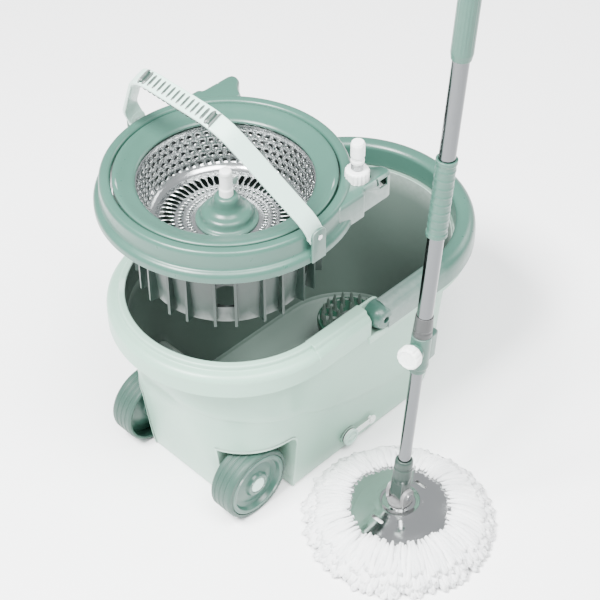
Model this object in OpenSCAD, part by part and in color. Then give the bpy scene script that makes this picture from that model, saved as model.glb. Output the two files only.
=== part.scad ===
// Spin mop: a wheeled oval bucket, a lift-out spinner with its basket, and a telescopic mop.
// Millimetres, +Z up.  The object stands on z = 0, centred under its own box.

/* [Tub] */
// Height of the rim above the floor
rim_h = 245.5; // [244:0.5:247]
// Outer radius of the rim's round wheel end
rim_r = 140; // [139:0.5:141]
// Radius of the mouth inside the rim
mouth_r = 118.5; // [118:0.5:119]
// Depth of the band below the rim
band_h = 33; // [31:0.5:35]
// Half width of the tub where it meets the floor
foot_r = 104; // [102:0.5:105]
// Distance from the middle to the wheel end's centre
left_c = 91; // [89:0.5:92]
// Distance from the middle to the handle end's centre
right_c = 96; // [95:0.5:98]
// Thickness of the tub's wall
wall = 2.6; // [2.2:0.1:3]

/* [Wheels] */
// Radius of a wheel
wheel_r = 45.3; // [44:0.1:46]
// Width of a wheel
wheel_w = 32; // [30:1:33]
// Distance of the axle from the middle
wheel_x = 154.6; // [153:0.1:156]
// Distance of a wheel's outer face from the middle plane
wheel_face = 101; // [100:0.5:102]

/* [Carry handle] */
// Inner radius of the carry handle
loop_in = 122.3; // [122:0.1:122.6]
// Outer radius of the carry handle
loop_out = 146; // [144:0.5:148]

/* [Spinner] */
// Height of the spinner's top as it stands lifted out
spin_top = 411; // [400:1:420]
// Radius of the lip that seats on the rim
lip_r = 138.4; // [137.5:0.1:139]
// Inner radius of the basket's mouth
basket_r = 93; // [92:0.5:93.5]
// Depth of the basket
basket_d = 62; // [58:1:66]
// Depth from the spinner's top to the cage's underside
cage_d = 131; // [129:1:133]
// How far the bail leans back from upright, in degrees
bail_lean = 23; // [18:1:28]

/* [Mop] */
// Radius of the fringe
fringe_r = 111; // [108:0.5:111]
// Radius of the bright disc
disc_r = 59; // [56:1:60]
// Height of the mop's top when it stands upright
mop_h = 850; // [800:10:900]
// Lean of the pole, in degrees
pole_lean = 5; // [0:0.5:8]
// Outer radius of the lower tube
low_r = 7; // [6.8:0.1:7.2]
// Outer radius of the upper tube
up_r = 8.5; // [8.4:0.1:9]

/* [Hidden] */
$fn = 96;
eps = 0.01;
big = 400;

mint = [0.80, 0.86, 0.84];
green = [0.56, 0.68, 0.65];
dark_green = [0.36, 0.46, 0.42];
deep_green = [0.10, 0.34, 0.26];
pale = [0.86, 0.90, 0.88];
steel = [0.78, 0.79, 0.80];
dark = [0.14, 0.15, 0.15];
white = [0.93, 0.93, 0.92];

// The mop stands beside the bucket, on its -Y side.
mop_x = -54;
mop_y = -225;

// The whole object is centred in X and Y under its own box.
x_min = -(left_c + rim_r);
x_max = right_c + loop_out;
y_min = mop_y - fringe_r;
y_max = loop_out;
shift = [-(x_min + x_max) / 2, -(y_min + y_max) / 2, 0];

module place() {
    translate(shift) children();
}

// ---- tub ----

base_z = 2;
floor_z = 12;
ledge_z = rim_h - band_h;
body_r = mouth_r + wall - 0.6;
end_x = 169.4;
corner_r = 45;
pivot_x = 1;
block_end = -17;
step_in = 127;
corner_facets = 32;
gap = 0.04;

// A thin slab of the tub's outline: round at the handle end, squarish at the wheel end.
module foot_slab(inset, z) {
    translate([right_c, 0, z]) cylinder(r = foot_r - inset, h = 1, $fn = 48);
    for (s = [-1, 1])
        translate([corner_r - end_x, s * (foot_r - corner_r), z])
            cylinder(r = corner_r - inset, h = 1, $fn = corner_facets);
}

// A thin slab of the oval outline under the rim.
module top_slab(inset, z) {
    for (x = [-left_c, right_c])
        translate([x, 0, z]) cylinder(r = body_r - inset, h = 1, $fn = 64);
}

module tub_solid(inset, z0, z1) {
    hull() {
        foot_slab(inset, z0);
        top_slab(inset, z1 - 1);
    }
}

arch_x = -102;
arch_y = 63;
arch_z = 95;
arch_round = 12;

// The space of a wheel arch, larger by grow on every side.
module arch_space(side, grow) {
    y0 = side > 0 ? arch_y - grow : -160;
    translate([0, y0, 0]) rotate([90, 0, 0]) mirror([0, 0, 1])
        linear_extrude(160 - arch_y + grow) {
            translate([-230, -20]) square([230 + arch_x - arch_round, 20 + arch_z + grow]);
            translate([-230, -20]) square([230 + arch_x + grow, 20 + arch_z - arch_round]);
            translate([arch_x - arch_round, arch_z - arch_round])
                circle(r = arch_round + grow);
        }
}

// The rim's section: an upside-down channel with a groove along its top.
module rim_section() {
    polygon([[mouth_r, ledge_z], [mouth_r, rim_h], [step_in - 1, rim_h],
        [step_in - 0.4, rim_h - 1.4], [step_in + 0.8, rim_h - 1.4], [step_in + 1.4, rim_h],
        [rim_r - 2, rim_h], [rim_r, rim_h - 2.5], [rim_r, ledge_z],
        [rim_r - wall, ledge_z], [rim_r - wall, rim_h - 3.4], [mouth_r + wall, rim_h - 3.4],
        [mouth_r + wall, ledge_z]]);
}

// The ledge that carries the handle, with its small skirt.
ledge_r = 142;
module ledge_section() {
    polygon([[mouth_r, ledge_z - wall], [mouth_r, ledge_z], [ledge_r, ledge_z],
        [ledge_r, ledge_z - 9], [ledge_r - 2.2, ledge_z - 9], [ledge_r - 2.2, ledge_z - wall]]);
}

// A straight run of a section along X, on one side.
module run_x(side, x0, x1) {
    mirror([0, side > 0 ? 0 : 1, 0])
        translate([x0, 0, 0]) rotate([90, 0, 90]) linear_extrude(x1 - x0) children();
}

lug_t = 3.4;
pin_z = ledge_z + 16;
pin_r = 4;
drain_x = -12;
drain_z = 22;
drain_r = 7.5;
drain_face = 106.5;
stub_r = 5;
stub_in = 50;

// The wall alone, with the drain's boss; the ledge and the rim stand on its top edge.
module tub() {
    color(mint) place() difference() {
        union() {
            difference() {
                tub_solid(0, base_z, ledge_z - wall);
                tub_solid(wall, 0, ledge_z + 2);
            }
            translate([drain_x, -drain_face, drain_z]) rotate([-90, 0, 0]) cylinder(r = 12.6, h = 4.5);
        }
        for (s = [-1, 1]) arch_space(s, 0);
        translate([drain_x, -drain_face - 1, drain_z]) rotate([-90, 0, 0])
            cylinder(r = drain_r, h = 12);
        for (p = strap_studs) translate([p[0], -foot_r - 6, p[1]]) rotate([-90, 0, 0])
            cylinder(r = stud_r, h = 12);
    }
}

module tub_floor() {
    color(mint) place() difference() {
        intersection() {
            tub_solid(wall + gap, 0, ledge_z + 2);
            translate([0, 0, floor_z - wall / 2]) cube([big * 1.5, big, wall], center = true);
        }
        for (s = [-1, 1]) arch_space(s, wall + gap);
        translate([wash_x, 0, floor_z - 8]) cylinder(r = wash_pin_r, h = 20);
    }
}

// The linings of the wheel arches, with the bosses that hold the axle stubs.
module wheel_arches() {
    color(mint) place() difference() {
        union() {
            intersection() {
                tub_solid(wall + gap, 0, ledge_z + 2);
                for (s = [-1, 1]) arch_space(s, wall);
            }
            for (s = [-1, 1]) translate([-wheel_x, s * (stub_in - 4), wheel_r])
                rotate([s > 0 ? -90 : 90, 0, 0]) cylinder(r = 9, h = arch_y - stub_in + 4);
        }
        for (s = [-1, 1]) arch_space(s, 0);
        translate([0, 0, base_z - 50]) cube([2 * big, 2 * big, 100], center = true);
        for (s = [-1, 1]) translate([-wheel_x, s * stub_in, wheel_r])
            rotate([s > 0 ? -90 : 90, 0, 0]) cylinder(r = stub_r, h = 40);
    }
}

// The rim round the wheel end, with the two raised blocks that lead to the handle's pivots.
module tub_rim() {
    color(mint) place() {
        translate([-left_c, 0, 0]) rotate([0, 0, 90]) rotate_extrude(angle = 180)
            rim_section();
        for (s = [-1, 1]) run_x(s, -left_c - eps, block_end) rim_section();
        for (s = [-1, 1]) run_x(s, block_end - 4, block_end)
            translate([mouth_r, ledge_z]) square([rim_r - mouth_r, band_h - 1]);
    }
}

// The ledge on the wall's top edge, with the lugs that hold the handle's pins.
module tub_ledge() {
    color(mint) place() difference() {
        union() {
            translate([right_c, 0, 0]) rotate([0, 0, -90]) rotate_extrude(angle = 180)
                ledge_section();
            for (s = [-1, 1]) run_x(s, block_end, right_c + eps) ledge_section();
            translate([-left_c, 0, 0]) rotate([0, 0, 90]) rotate_extrude(angle = 180)
                seat_section();
            for (s = [-1, 1]) run_x(s, -left_c - eps, block_end + eps) seat_section();
            for (s = [-1, 1])
                translate([block_end + gap, s > 0 ? mouth_r : -mouth_r - lug_t, ledge_z - 1])
                    cube([pivot_x + 10 - block_end, lug_t, band_h - 1]);
        }
        for (s = [-1, 1]) translate([pivot_x, 0, pin_z])
            rotate([s > 0 ? -90 : 90, 0, 0]) translate([0, 0, 100]) cylinder(r = pin_r, h = 30);
    }
}

// The flat seat under the rim, level with the ledge.
module seat_section() {
    translate([mouth_r, ledge_z - wall]) square([wall, wall]);
}

module axle_stubs() {
    color(steel) place() for (s = [-1, 1])
        translate([-wheel_x, s * stub_in, wheel_r]) rotate([s > 0 ? -90 : 90, 0, 0]) {
            cylinder(r = stub_r, h = wheel_face - 5 - stub_in);
            translate([0, 0, wheel_face - 8 - stub_in]) cylinder(r = 8, h = 3);
        }
}

foot_pad_r = 8;
module tub_feet() {
    color(dark) place() for (s = [-1, 1], x = [40, 160])
        translate([x, s * 52, 0]) cylinder(r = foot_pad_r, h = floor_z - wall);
}

seal_t = 1.4;
module drain_seal() {
    color(dark) place() translate([drain_x, -drain_face, drain_z]) rotate([90, 0, 0])
        difference() {
            cylinder(r = 10.6, h = seal_t);
            translate([0, 0, -1]) cylinder(r = drain_r, h = 4);
        }
}

strap_t = 1.2;
strap_end = 26;
strap_studs = [[26, 22]];
stud_r = 3;
module plug_strap() {
    color(white) place() translate([0, -drain_face - seal_t, drain_z]) rotate([90, 0, 0]) {
        difference() {
            union() {
                translate([drain_x, 0, 0]) cylinder(r = 10.4, h = strap_t);
                translate([drain_x, -4, 0]) cube([strap_end - drain_x, 8, strap_t]);
                translate([strap_end, 0, 0]) cylinder(r = 6, h = strap_t);
            }
            translate([drain_x, 0, -1]) cylinder(r = drain_r, h = 4);
        }
        translate([strap_end, 0, -6]) cylinder(r = stud_r, h = 7);
        translate([strap_end, 0, strap_t - eps]) cylinder(r = 4.5, h = 1.2);
    }
}

module drain_plug() {
    color(pale) place() translate([drain_x, -drain_face - seal_t - strap_t, drain_z])
        rotate([90, 0, 0]) {
            translate([0, 0, 0.05]) difference() {
                cylinder(r = 11, h = 2.6);
                translate([0, 0, 1.4]) cylinder(r = 8, h = 3);
            }
            translate([0, 0, 0.05]) cylinder(r = 3.4, h = 2.4);
            translate([-7.5, -1.4, 0.1]) cube([15, 2.8, 2.4]);
            translate([0, 0, -6.2]) cylinder(r = drain_r - 0.05, h = 6.3);
        }
}

module handle_pins() {
    color(steel) place() for (s = [-1, 1])
        translate([pivot_x, s * mouth_r, pin_z]) rotate([s > 0 ? -90 : 90, 0, 0])
            cylinder(r = pin_r, h = 22);
}

// ---- washing station ----

wash_x = 97;
wash_r = 38;
wash_top = 84;
wash_pin_r = 4;
plinth_top = 40;

module wash_plinth() {
    color(dark_green) place() translate([wash_x, 0, floor_z]) difference() {
        union() {
            cylinder(r = 34, h = 4);
            cylinder(r = 26, h = plinth_top - floor_z);
        }
        translate([0, 0, -1]) cylinder(r = wash_pin_r, h = 60);
    }
}

module wash_pin() {
    color(steel) place() translate([wash_x, 0, floor_z - wall]) cylinder(r = wash_pin_r, h = 62);
}

spikes = 18;
module wash_disc() {
    color(deep_green) place() translate([wash_x, 0, 0]) difference() {
        union() {
            translate([0, 0, plinth_top + 0.4]) cylinder(r = wash_r - 2, h = 28);
            translate([0, 0, plinth_top + 20]) cylinder(r = wash_r, h = 8);
            for (ring = [[12, 6], [22, 12], [32, spikes]], i = [0 : ring[1] - 1])
                rotate([0, 0, i * 360 / ring[1] + ring[0]]) translate([ring[0], 0, plinth_top + 27])
                    cylinder(r1 = 2.6, r2 = 1.3, h = wash_top - plinth_top - 27, $fn = 24);
        }
        translate([0, 0, plinth_top]) cylinder(r = wash_pin_r + 0.06, h = 60);
        translate([0, 0, plinth_top + 0.4 - eps]) difference() {
            cylinder(r = wash_r - 5, h = 22);
            translate([0, 0, -1]) cylinder(r = 9, h = 24);
        }
        for (i = [0 : 5]) rotate([0, 0, i * 60 + 30]) translate([17, 0, plinth_top])
            cylinder(r = 2.6, h = 40, $fn = 24);
    }
}

module wash_cap() {
    color(dark_green) place() translate([wash_x, 0, plinth_top + 28.4 + eps]) difference() {
        union() {
            cylinder(r = 8, h = 4);
            cylinder(r = 6, h = 7);
        }
        translate([0, 0, -1]) cylinder(r = wash_pin_r + 0.06, h = 5);
    }
}

// ---- carry handle ----

loop_z = [ledge_z + 1.2, rim_h - 1.5];
loop_end_r = 14.6;
module loop_section() {
    polygon([[loop_in, loop_z[0]], [loop_in, loop_z[1] - 5], [loop_in + 4, loop_z[1]],
        [loop_out - 9, loop_z[1]], [loop_out - 3, loop_z[1] - 4], [loop_out, loop_z[1] - 11],
        [loop_out, loop_z[0]], [loop_out - 3, loop_z[0]], [loop_out - 3, loop_z[1] - 9],
        [loop_out - 8, loop_z[1] - 3.2], [loop_in + 5, loop_z[1] - 3.2],
        [loop_in + 3, loop_z[1] - 6], [loop_in + 3, loop_z[0]]]);
}

module tub_handle() {
    color(green) place() difference() {
        union() {
            translate([right_c, 0, 0]) rotate([0, 0, -90]) rotate_extrude(angle = 180)
                loop_section();
            for (s = [-1, 1]) {
                run_x(s, pivot_x + 6, right_c + eps) loop_section();
                translate([pivot_x, s > 0 ? loop_in : -loop_in, pin_z])
                    rotate([s > 0 ? -90 : 90, 0, 0])
                        cylinder(r = loop_end_r, h = loop_out - loop_in - 0.5);
            }
        }
        for (s = [-1, 1]) translate([pivot_x, s * (loop_in - 1), pin_z])
            rotate([s > 0 ? -90 : 90, 0, 0]) cylinder(r = pin_r + 0.06, h = 20);
    }
}

// ---- wheels ----

wheel_in = wheel_face - wheel_w;
tyre_t = 5;
module wheel(side) {
    color(green) place() translate([-wheel_x, 0, wheel_r]) mirror([0, side > 0 ? 0 : 1, 0])
        rotate([-90, 0, 0]) rotate_extrude() polygon([
            [stub_r + 0.06, wheel_in], [13, wheel_in], [15, wheel_in + 8], [32, wheel_in + 14],
            [wheel_r - tyre_t, wheel_in + 14], [wheel_r - tyre_t, wheel_face - 2],
            [wheel_r - tyre_t - 2, wheel_face - 0.5], [wheel_r - tyre_t - 5, wheel_face - 0.5],
            [wheel_r - tyre_t - 8, wheel_face - 6], [16, wheel_face - 4], [13, wheel_face],
            [9.6, wheel_face], [9.6, wheel_face - 9], [stub_r + 0.06, wheel_face - 9]]);
}

module tyre(side) {
    color(dark_green) place() translate([-wheel_x, 0, wheel_r]) mirror([0, side > 0 ? 0 : 1, 0])
        rotate([-90, 0, 0]) rotate_extrude() polygon([
            [wheel_r - tyre_t, wheel_in + 1], [wheel_r - 2, wheel_in], [wheel_r, wheel_in + 2],
            [wheel_r, wheel_face - 3], [wheel_r - 1.5, wheel_face - 0.8],
            [wheel_r - tyre_t, wheel_face]]);
}

module hub_cap(side) {
    color(pale) place() translate([-wheel_x, 0, wheel_r]) mirror([0, side > 0 ? 0 : 1, 0])
        rotate([-90, 0, 0]) rotate_extrude() polygon([
            [0, wheel_face - 4], [9.6, wheel_face - 4], [9.6, wheel_face - 0.5],
            [7, wheel_face + 1], [0, wheel_face + 1.4]]);
}

module wheel_left() { wheel(1); }
module wheel_right() { wheel(-1); }
module tyre_left() { tyre(1); }
module tyre_right() { tyre(-1); }
module hub_cap_left() { hub_cap(1); }
module hub_cap_right() { hub_cap(-1); }

// ---- spinner ----

spin_x = -96;
lip_z = spin_top - 34;
horn_top = spin_top - 3;
cage_z = spin_top - cage_d;
flange_z = spin_top - 27;
bail_x = -100;
bail_z = spin_top - 4;
bail_y = 134.6;
bail_pin_r = 3;
soap_x = -7;
soap_y = -103;

module spin_place() {
    place() translate([spin_x, 0, 0]) children();
}

module collar_section() {
    polygon([[119, flange_z], [119, spin_top - 3], [120.5, spin_top - 0.8], [124, spin_top],
        [128, spin_top - 0.6], [130.6, spin_top - 3], [131.5, spin_top - 7], [131.5, lip_z + 11],
        [lip_r - 2, lip_z + 9], [lip_r, lip_z + 7], [lip_r, lip_z], [lip_r - 2.8, lip_z],
        [lip_r - 2.8, lip_z + 6], [128.7, lip_z + 8.4], [128.7, spin_top - 7],
        [127, spin_top - 3.4], [121.8, spin_top - 3.4], [121.8, flange_z]]);
}

// Outline of a horn on the -Y side, d inside its outer edges.
function horn_pts(d) = [[-60, -126 + d], [-19 - d, -126 + d], [-16 - d, -121.6 + d],
    [21, -121.6 + d], [26 - d, -119 + d], [28 - d, -114], [26 - d, -108], [14 - d, -97],
    [7 - d, -83 - d], [-20, -98]];

module collar() {
    color(green) place() difference() {
        union() {
            translate([spin_x, 0, 0]) rotate_extrude() collar_section();
            for (m = [0, 1]) mirror([0, m, 0]) {
                difference() {
                    translate([0, 0, lip_z]) linear_extrude(horn_top - lip_z)
                        polygon(horn_pts(0));
                    translate([0, 0, lip_z - 1]) linear_extrude(horn_top - lip_z - 2)
                        polygon(horn_pts(2.6));
                    translate([spin_x, 0, 0]) cylinder(r = 129, h = big * 2);
                }
                // outer ear of the bail's clevis, and its foot on the lip
                translate([bail_x - 9, -140.5, lip_z + 1]) cube([18, 3, bail_z - lip_z - 1]);
                translate([bail_x, -137.5, bail_z]) rotate([90, 0, 0]) cylinder(r = 9, h = 3);
            }
            // screw bosses
            for (a = screw_angles) translate([spin_x, 0, 0]) rotate([0, 0, a])
                translate([125.2, 0, flange_z]) cylinder(r = 4.4, h = 14, $fn = 32);
        }
        for (m = [0, 1]) mirror([0, m, 0])
            translate([bail_x, -128, bail_z]) rotate([90, 0, 0]) cylinder(r = bail_pin_r, h = 20);
        for (a = screw_angles) translate([spin_x, 0, 0]) rotate([0, 0, a])
            translate([125.2, 0, flange_z - 1]) cylinder(r = 2, h = 11, $fn = 32);
        translate([soap_x, soap_y, horn_top - 10]) cylinder(r = 8, h = 20);
        translate([soap_x, soap_y, horn_top - 1.2]) cylinder(r = 14.5, h = 4);
        // hook notches in the tips
        for (m = [0, 1]) mirror([0, m, 0]) {
            translate([8, -124, horn_top - 14]) cube([12, 6.5, 12]);
            translate([4, -124, horn_top - 4]) cube([3, 6.5, 6]);
        }
    }
}

screw_angles = [0, 90, 180, 270];
cage_top_r = 100;
cage_low_r = 90;
window_w = 30;
window_h = 46;
module cage() {
    color(dark_green) spin_place() difference() {
        union() {
            translate([0, 0, cage_z]) cylinder(r1 = cage_low_r, r2 = cage_top_r, h = flange_z - cage_z);
            translate([0, 0, flange_z - 3]) cylinder(r = 104, h = 3);
            for (a = screw_angles) rotate([0, 0, a]) translate([95, -8, flange_z - 3])
                cube([34, 16, 3]);
            for (i = [0 : 11]) rotate([0, 0, i * 30 + 225]) for (s = [-1, 1])
                translate([88, s * 11 - 1.5, cage_z + 2]) cube([12.5, 3, flange_z - cage_z - 4]);
            for (i = [0 : 5]) rotate([0, 0, i * 60 + 195])
                translate([92, -1.5, flange_z - 34]) cube([20, 3, 32]);
        }
        translate([0, 0, cage_z + 3]) cylinder(r1 = cage_low_r - 3, r2 = cage_top_r - 2.6,
            h = flange_z - cage_z);
        for (i = [0 : 5]) rotate([0, 0, i * 60 + 225])
            translate([80, -window_w / 2 + 6, cage_z + 22]) cube([30, window_w - 12, window_h]);
        for (i = [0 : 5]) rotate([0, 0, i * 60 + 225]) translate([52, 0, cage_z - 1])
            cylinder(r = 17, h = 6, $fn = 48);
        translate([0, 0, cage_z + 1]) cylinder(r = 6.5, h = 10);
        for (a = screw_angles) rotate([0, 0, a]) translate([125.2, 0, flange_z - 5])
            cylinder(r = 2, h = 10, $fn = 32);
    }
    color(dark_green) spin_place() translate([0, 0, cage_z + 3 - eps]) difference() {
        cylinder(r = 18, h = 28);
        translate([0, 0, -1]) cylinder(r = 6.6, h = 40);
        translate([0, 0, 16]) cylinder(r = 14, h = 40);
    }
}

module cage_screws() {
    color(steel) spin_place() for (a = screw_angles) rotate([0, 0, a])
        translate([125.2, 0, flange_z - 3]) {
            cylinder(r = 2, h = 12, $fn = 32);
            translate([0, 0, -2.4]) cylinder(r = 4, h = 2.4, $fn = 32);
        }
}

shaft_r = 6;
module bearing() {
    color(steel) spin_place() translate([0, 0, cage_z + 19]) difference() {
        cylinder(r = 14, h = 11);
        translate([0, 0, -1]) cylinder(r = shaft_r + 0.06, h = 20);
        for (z = [-1, 10]) translate([0, 0, z]) difference() {
            cylinder(r = 11.6, h = 2);
            translate([0, 0, -1]) cylinder(r = 9, h = 4);
        }
    }
}

module thrust_pad() {
    color(dark) spin_place() translate([0, 0, cage_z + 1]) cylinder(r = 6.5, h = 3);
}

basket_floor = spin_top - 4 - basket_d;
module basket_shaft() {
    color(steel) spin_place() translate([0, 0, cage_z + 4.1])
        cylinder(r = shaft_r, h = basket_floor - cage_z - 4.2);
}

module basket_hub() {
    color(dark_green) spin_place() difference() {
        union() {
            translate([0, 0, basket_floor - 5]) cylinder(r = 34, h = 5);
            translate([0, 0, basket_floor - 16]) cylinder(r = 13, h = 12);
            for (a = [0 : 60 : 300]) rotate([0, 0, a]) translate([10, -1.5, basket_floor - 12])
                cube([20, 3, 8]);
        }
        translate([0, 0, basket_floor - 20]) cylinder(r = shaft_r, h = 19.9);
    }
}

// Rows of round holes up the basket's wall, and slots in its floor.
hole_cols = 30;
module basket() {
    color(steel) spin_place() difference() {
        rotate_extrude() polygon([[0, basket_floor], [78, basket_floor],
            [84, basket_floor + 2.5], [87, basket_floor + 8], [basket_r + 1, spin_top - 14],
            [basket_r + 4, spin_top - 13], [basket_r + 4, spin_top - 12],
            [basket_r, spin_top - 12.6], [86, basket_floor + 8.4], [83.2, basket_floor + 3.3],
            [77.6, basket_floor + 1], [0, basket_floor + 1]]);
        for (i = [0 : 23]) rotate([0, 0, i * 15]) translate([56, -2.2, basket_floor - 1])
            cube([14, 4.4, 4]);
        for (i = [0 : hole_cols - 1], j = [0 : 1])
            rotate([0, 0, i * 360 / hole_cols]) translate([80, 0, basket_floor + 20 + 18 * j])
                rotate([0, 90, 0]) cylinder(r = 2, h = 20, $fn = 16);
    }
}

module basket_rim() {
    color(green) spin_place() rotate_extrude() polygon([
        [93.3, spin_top - 11.9], [93.3, spin_top - 9], [96, spin_top - 7], [104, spin_top - 4.6],
        [111, spin_top - 1.6], [114.6, spin_top - 0.6], [117.4, spin_top - 1.6],
        [117.4, spin_top - 18], [114.8, spin_top - 18], [114.8, spin_top - 5],
        [104, spin_top - 8.4], [98, spin_top - 11.9]]);
}

dome_r = 28;
module basket_dome() {
    color(green) spin_place() rotate_extrude() polygon([
        [0, basket_floor + 1], [dome_r + 6, basket_floor + 1], [dome_r + 4, basket_floor + 4],
        [dome_r, basket_floor + 7], [dome_r - 2, basket_floor + 13], [20, basket_floor + 16],
        [15, basket_floor + 20], [13, basket_floor + 30], [9, basket_floor + 33],
        [0, basket_floor + 33]]);
}

module basket_spindle() {
    color(white) spin_place() rotate_extrude() polygon([
        [0, basket_floor + 33], [7.6, basket_floor + 33], [7, basket_floor + 50],
        [6.6, basket_floor + 62], [5, basket_floor + 65], [0, basket_floor + 66]]);
}

// ---- bail ----

bail_reach = 132.6;
bail_straight = 14;
bail_half = 58;
strap_w = 20;
strap_y = 4.6;

module bail_place() {
    place() translate([bail_x, 0, bail_z]) rotate([0, -bail_lean, 0]) children();
}

module bail_pins() {
    color(steel) place() for (m = [0, 1]) mirror([0, m, 0])
        translate([bail_x, -129, bail_z]) rotate([90, 0, 0]) cylinder(r = bail_pin_r, h = 12.4);
}

arm_rise = bail_reach - bail_straight;
arm_in = bail_y - bail_half;
arm_len = sqrt(arm_rise * arm_rise + arm_in * arm_in);
arm_tilt = atan2(arm_in, arm_rise);
module bail_arms() {
    color(pale) bail_place() {
        for (m = [0, 1]) mirror([0, m, 0]) difference() {
            union() {
                translate([0, -bail_y + strap_y / 2, 0]) rotate([90, 0, 0])
                    cylinder(r = 10, h = strap_y);
                translate([-strap_w / 2, -bail_y - strap_y / 2, 0])
                    cube([strap_w, strap_y, bail_straight + 1]);
                translate([0, -bail_y, bail_straight]) rotate([-arm_tilt, 0, 0])
                    translate([-strap_w / 2, -strap_y / 2, -1]) cube([strap_w, strap_y, arm_len + 1]);
            }
            translate([0, -bail_y + 5, 0]) rotate([90, 0, 0])
                cylinder(r = bail_pin_r + 0.06, h = 10);
        }
        translate([-9, -bail_half - 3, bail_reach]) cube([18, 2 * bail_half + 6, 4.5]);
    }
}

ribs = 16;
module bail_grip() {
    color(dark_green) bail_place() difference() {
        translate([-9, -bail_half + 6, bail_reach - 11]) cube([18, 2 * bail_half - 12, 11]);
        for (i = [0 : ribs - 1])
            translate([-10, -bail_half + 9 + i * (2 * bail_half - 18) / (ribs - 1) - 1.3,
                bail_reach - 12]) cube([20, 2.6, 6]);
    }
}

// ---- soap pump ----

stem_r = 5;
well_r = 6;
module soap_tank() {
    color(white) place() difference() {
        translate([0, 0, lip_z + 2]) linear_extrude(horn_top - lip_z - 18)
            polygon([[-18, -117.4], [18, -117.4], [20.5, -111], [9, -98], [2, -99.5],
                [-15, -112.5]]);
        translate([soap_x, soap_y, lip_z + 8]) cylinder(r = well_r, h = 40);
    }
}

module soap_nut() {
    color(white) place() translate([soap_x, soap_y, horn_top - 1.2]) difference() {
        union() {
            cylinder(r = 12, h = 13);
            for (i = [0 : 17]) rotate([0, 0, i * 20]) translate([11.6, -0.8, 0.5]) cube([1, 1.6, 11.5]);
        }
        translate([0, 0, -1]) cylinder(r = stem_r + 0.06, h = 16);
    }
}

module soap_head() {
    color(white) place() translate([soap_x, soap_y, horn_top]) {
        translate([0, 0, 1]) cylinder(r = stem_r, h = 24);
        translate([0, 0, 20]) cylinder(r = 7.4, h = 26);
        translate([0, 0, 44]) cylinder(r1 = 7.4, r2 = 6, h = 3);
    }
}

module soap_spring() {
    color(steel) place() translate([soap_x, soap_y, horn_top + 11.9]) difference() {
        cylinder(r = 6.8, h = 8);
        translate([0, 0, -1]) cylinder(r = 5.6, h = 10);
    }
}

// ---- mop ----

pin_h = 54;
plate_z = 24;
module mop_place() {
    place() translate([mop_x, mop_y, 0]) children();
}

// Along the leaning pole: z is measured up the pole from the yoke's pin.
module pole_place() {
    mop_place() translate([0, 0, pin_h]) rotate([0, pole_lean, 0]) children();
}

module fringe() {
    color(white) mop_place() rotate_extrude() polygon([[16, 2], [60, 0], [fringe_r - 10, 0],
        [fringe_r - 3, 2], [fringe_r, 7], [fringe_r - 3, 14], [fringe_r - 15, 21],
        [fringe_r - 32, 26], [66, 28.5], [64, 27], [64, plate_z - 0.2], [16, plate_z - 0.2]]);
}

plug_r = 6;
module mop_plate() {
    color(white) mop_place() difference() {
        union() {
            translate([0, 0, plate_z]) cylinder(r = disc_r + 3, h = 5);
            translate([0, 0, plate_z]) cylinder(r = 12, h = 13.4);
        }
        translate([0, 0, plate_z - 1]) cylinder(r = plug_r + 0.06, h = 30);
    }
}

dome_h = 10;
cap_z = plate_z + 5;
function cap(r) = cap_z + dome_h * (1 - pow(r / disc_r, 2));
module mop_disc() {
    color(steel) mop_place() difference() {
        rotate_extrude() polygon(concat(
            [for (i = [0 : 10]) let (r = 6.4 + (disc_r - 6.4) * i / 10) [r, cap(r) + 0.9]],
            [for (i = [10 : -1 : 0]) let (r = 6.4 + (disc_r - 6.4) * i / 10) [r, cap(r)]]));
        for (s = [-1, 1]) translate([s * 26, 0, cap_z]) cube([4, 12, 30], center = true);
    }
}

ear_in = 8.6;
ear_out = 13;
yoke_z = cap_z + dome_h + 1.4;
module yoke() {
    color(dark) mop_place() difference() {
        union() {
            translate([0, 0, yoke_z]) cylinder(r = 14, h = 3.4);
            translate([0, 0, plate_z + 2]) cylinder(r = plug_r, h = yoke_z - plate_z - 1);
            for (s = [-1, 1]) {
                translate([-8.5, s > 0 ? ear_in : -ear_out, yoke_z]) cube([17, ear_out - ear_in,
                    pin_h - yoke_z]);
                translate([0, s > 0 ? ear_in : -ear_out, pin_h]) rotate([-90, 0, 0])
                    cylinder(r = 8.5, h = ear_out - ear_in);
            }
        }
        translate([0, -20, pin_h]) rotate([-90, 0, 0]) cylinder(r = 3, h = 40);
    }
}

module yoke_pin() {
    color(steel) mop_place() {
        translate([0, -ear_out, pin_h]) rotate([-90, 0, 0]) cylinder(r = 3, h = 2 * ear_out);
        for (s = [-1, 1]) translate([0, s * (ear_out + 1) - 1, pin_h]) rotate([-90, 0, 0])
            cylinder(r = 4.6, h = 2);
    }
}

tongue = 16;
socket_top = 52;
socket_r = 10.6;
module pole_socket() {
    color(dark_green) pole_place() difference() {
        union() {
            rotate([90, 0, 0]) translate([0, 0, -8.4]) cylinder(r = 8.5, h = 16.8);
            translate([-8, -8.4, 0]) cube([16, 16.8, tongue + 1]);
            translate([0, 0, tongue]) cylinder(r1 = 9, r2 = socket_r, h = 8);
            translate([0, 0, tongue + 8 - eps]) cylinder(r = socket_r, h = socket_top - tongue - 11);
            translate([0, 0, socket_top - 3 - 2 * eps]) cylinder(r1 = socket_r, r2 = 8.6, h = 3);
        }
        translate([0, 20, 0]) rotate([90, 0, 0]) cylinder(r = 3.06, h = 40);
        translate([0, 0, 22]) cylinder(r = low_r, h = 60);
    }
}

low_top = 470;
tube_t = 1;
module tube(r, z0, z1) {
    translate([0, 0, z0]) difference() {
        cylinder(r = r, h = z1 - z0);
        translate([0, 0, -1]) cylinder(r = r - tube_t, h = z1 - z0 + 2);
    }
}

module lower_tube() {
    color(steel) pole_place() tube(low_r, 22, low_top);
}

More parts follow.
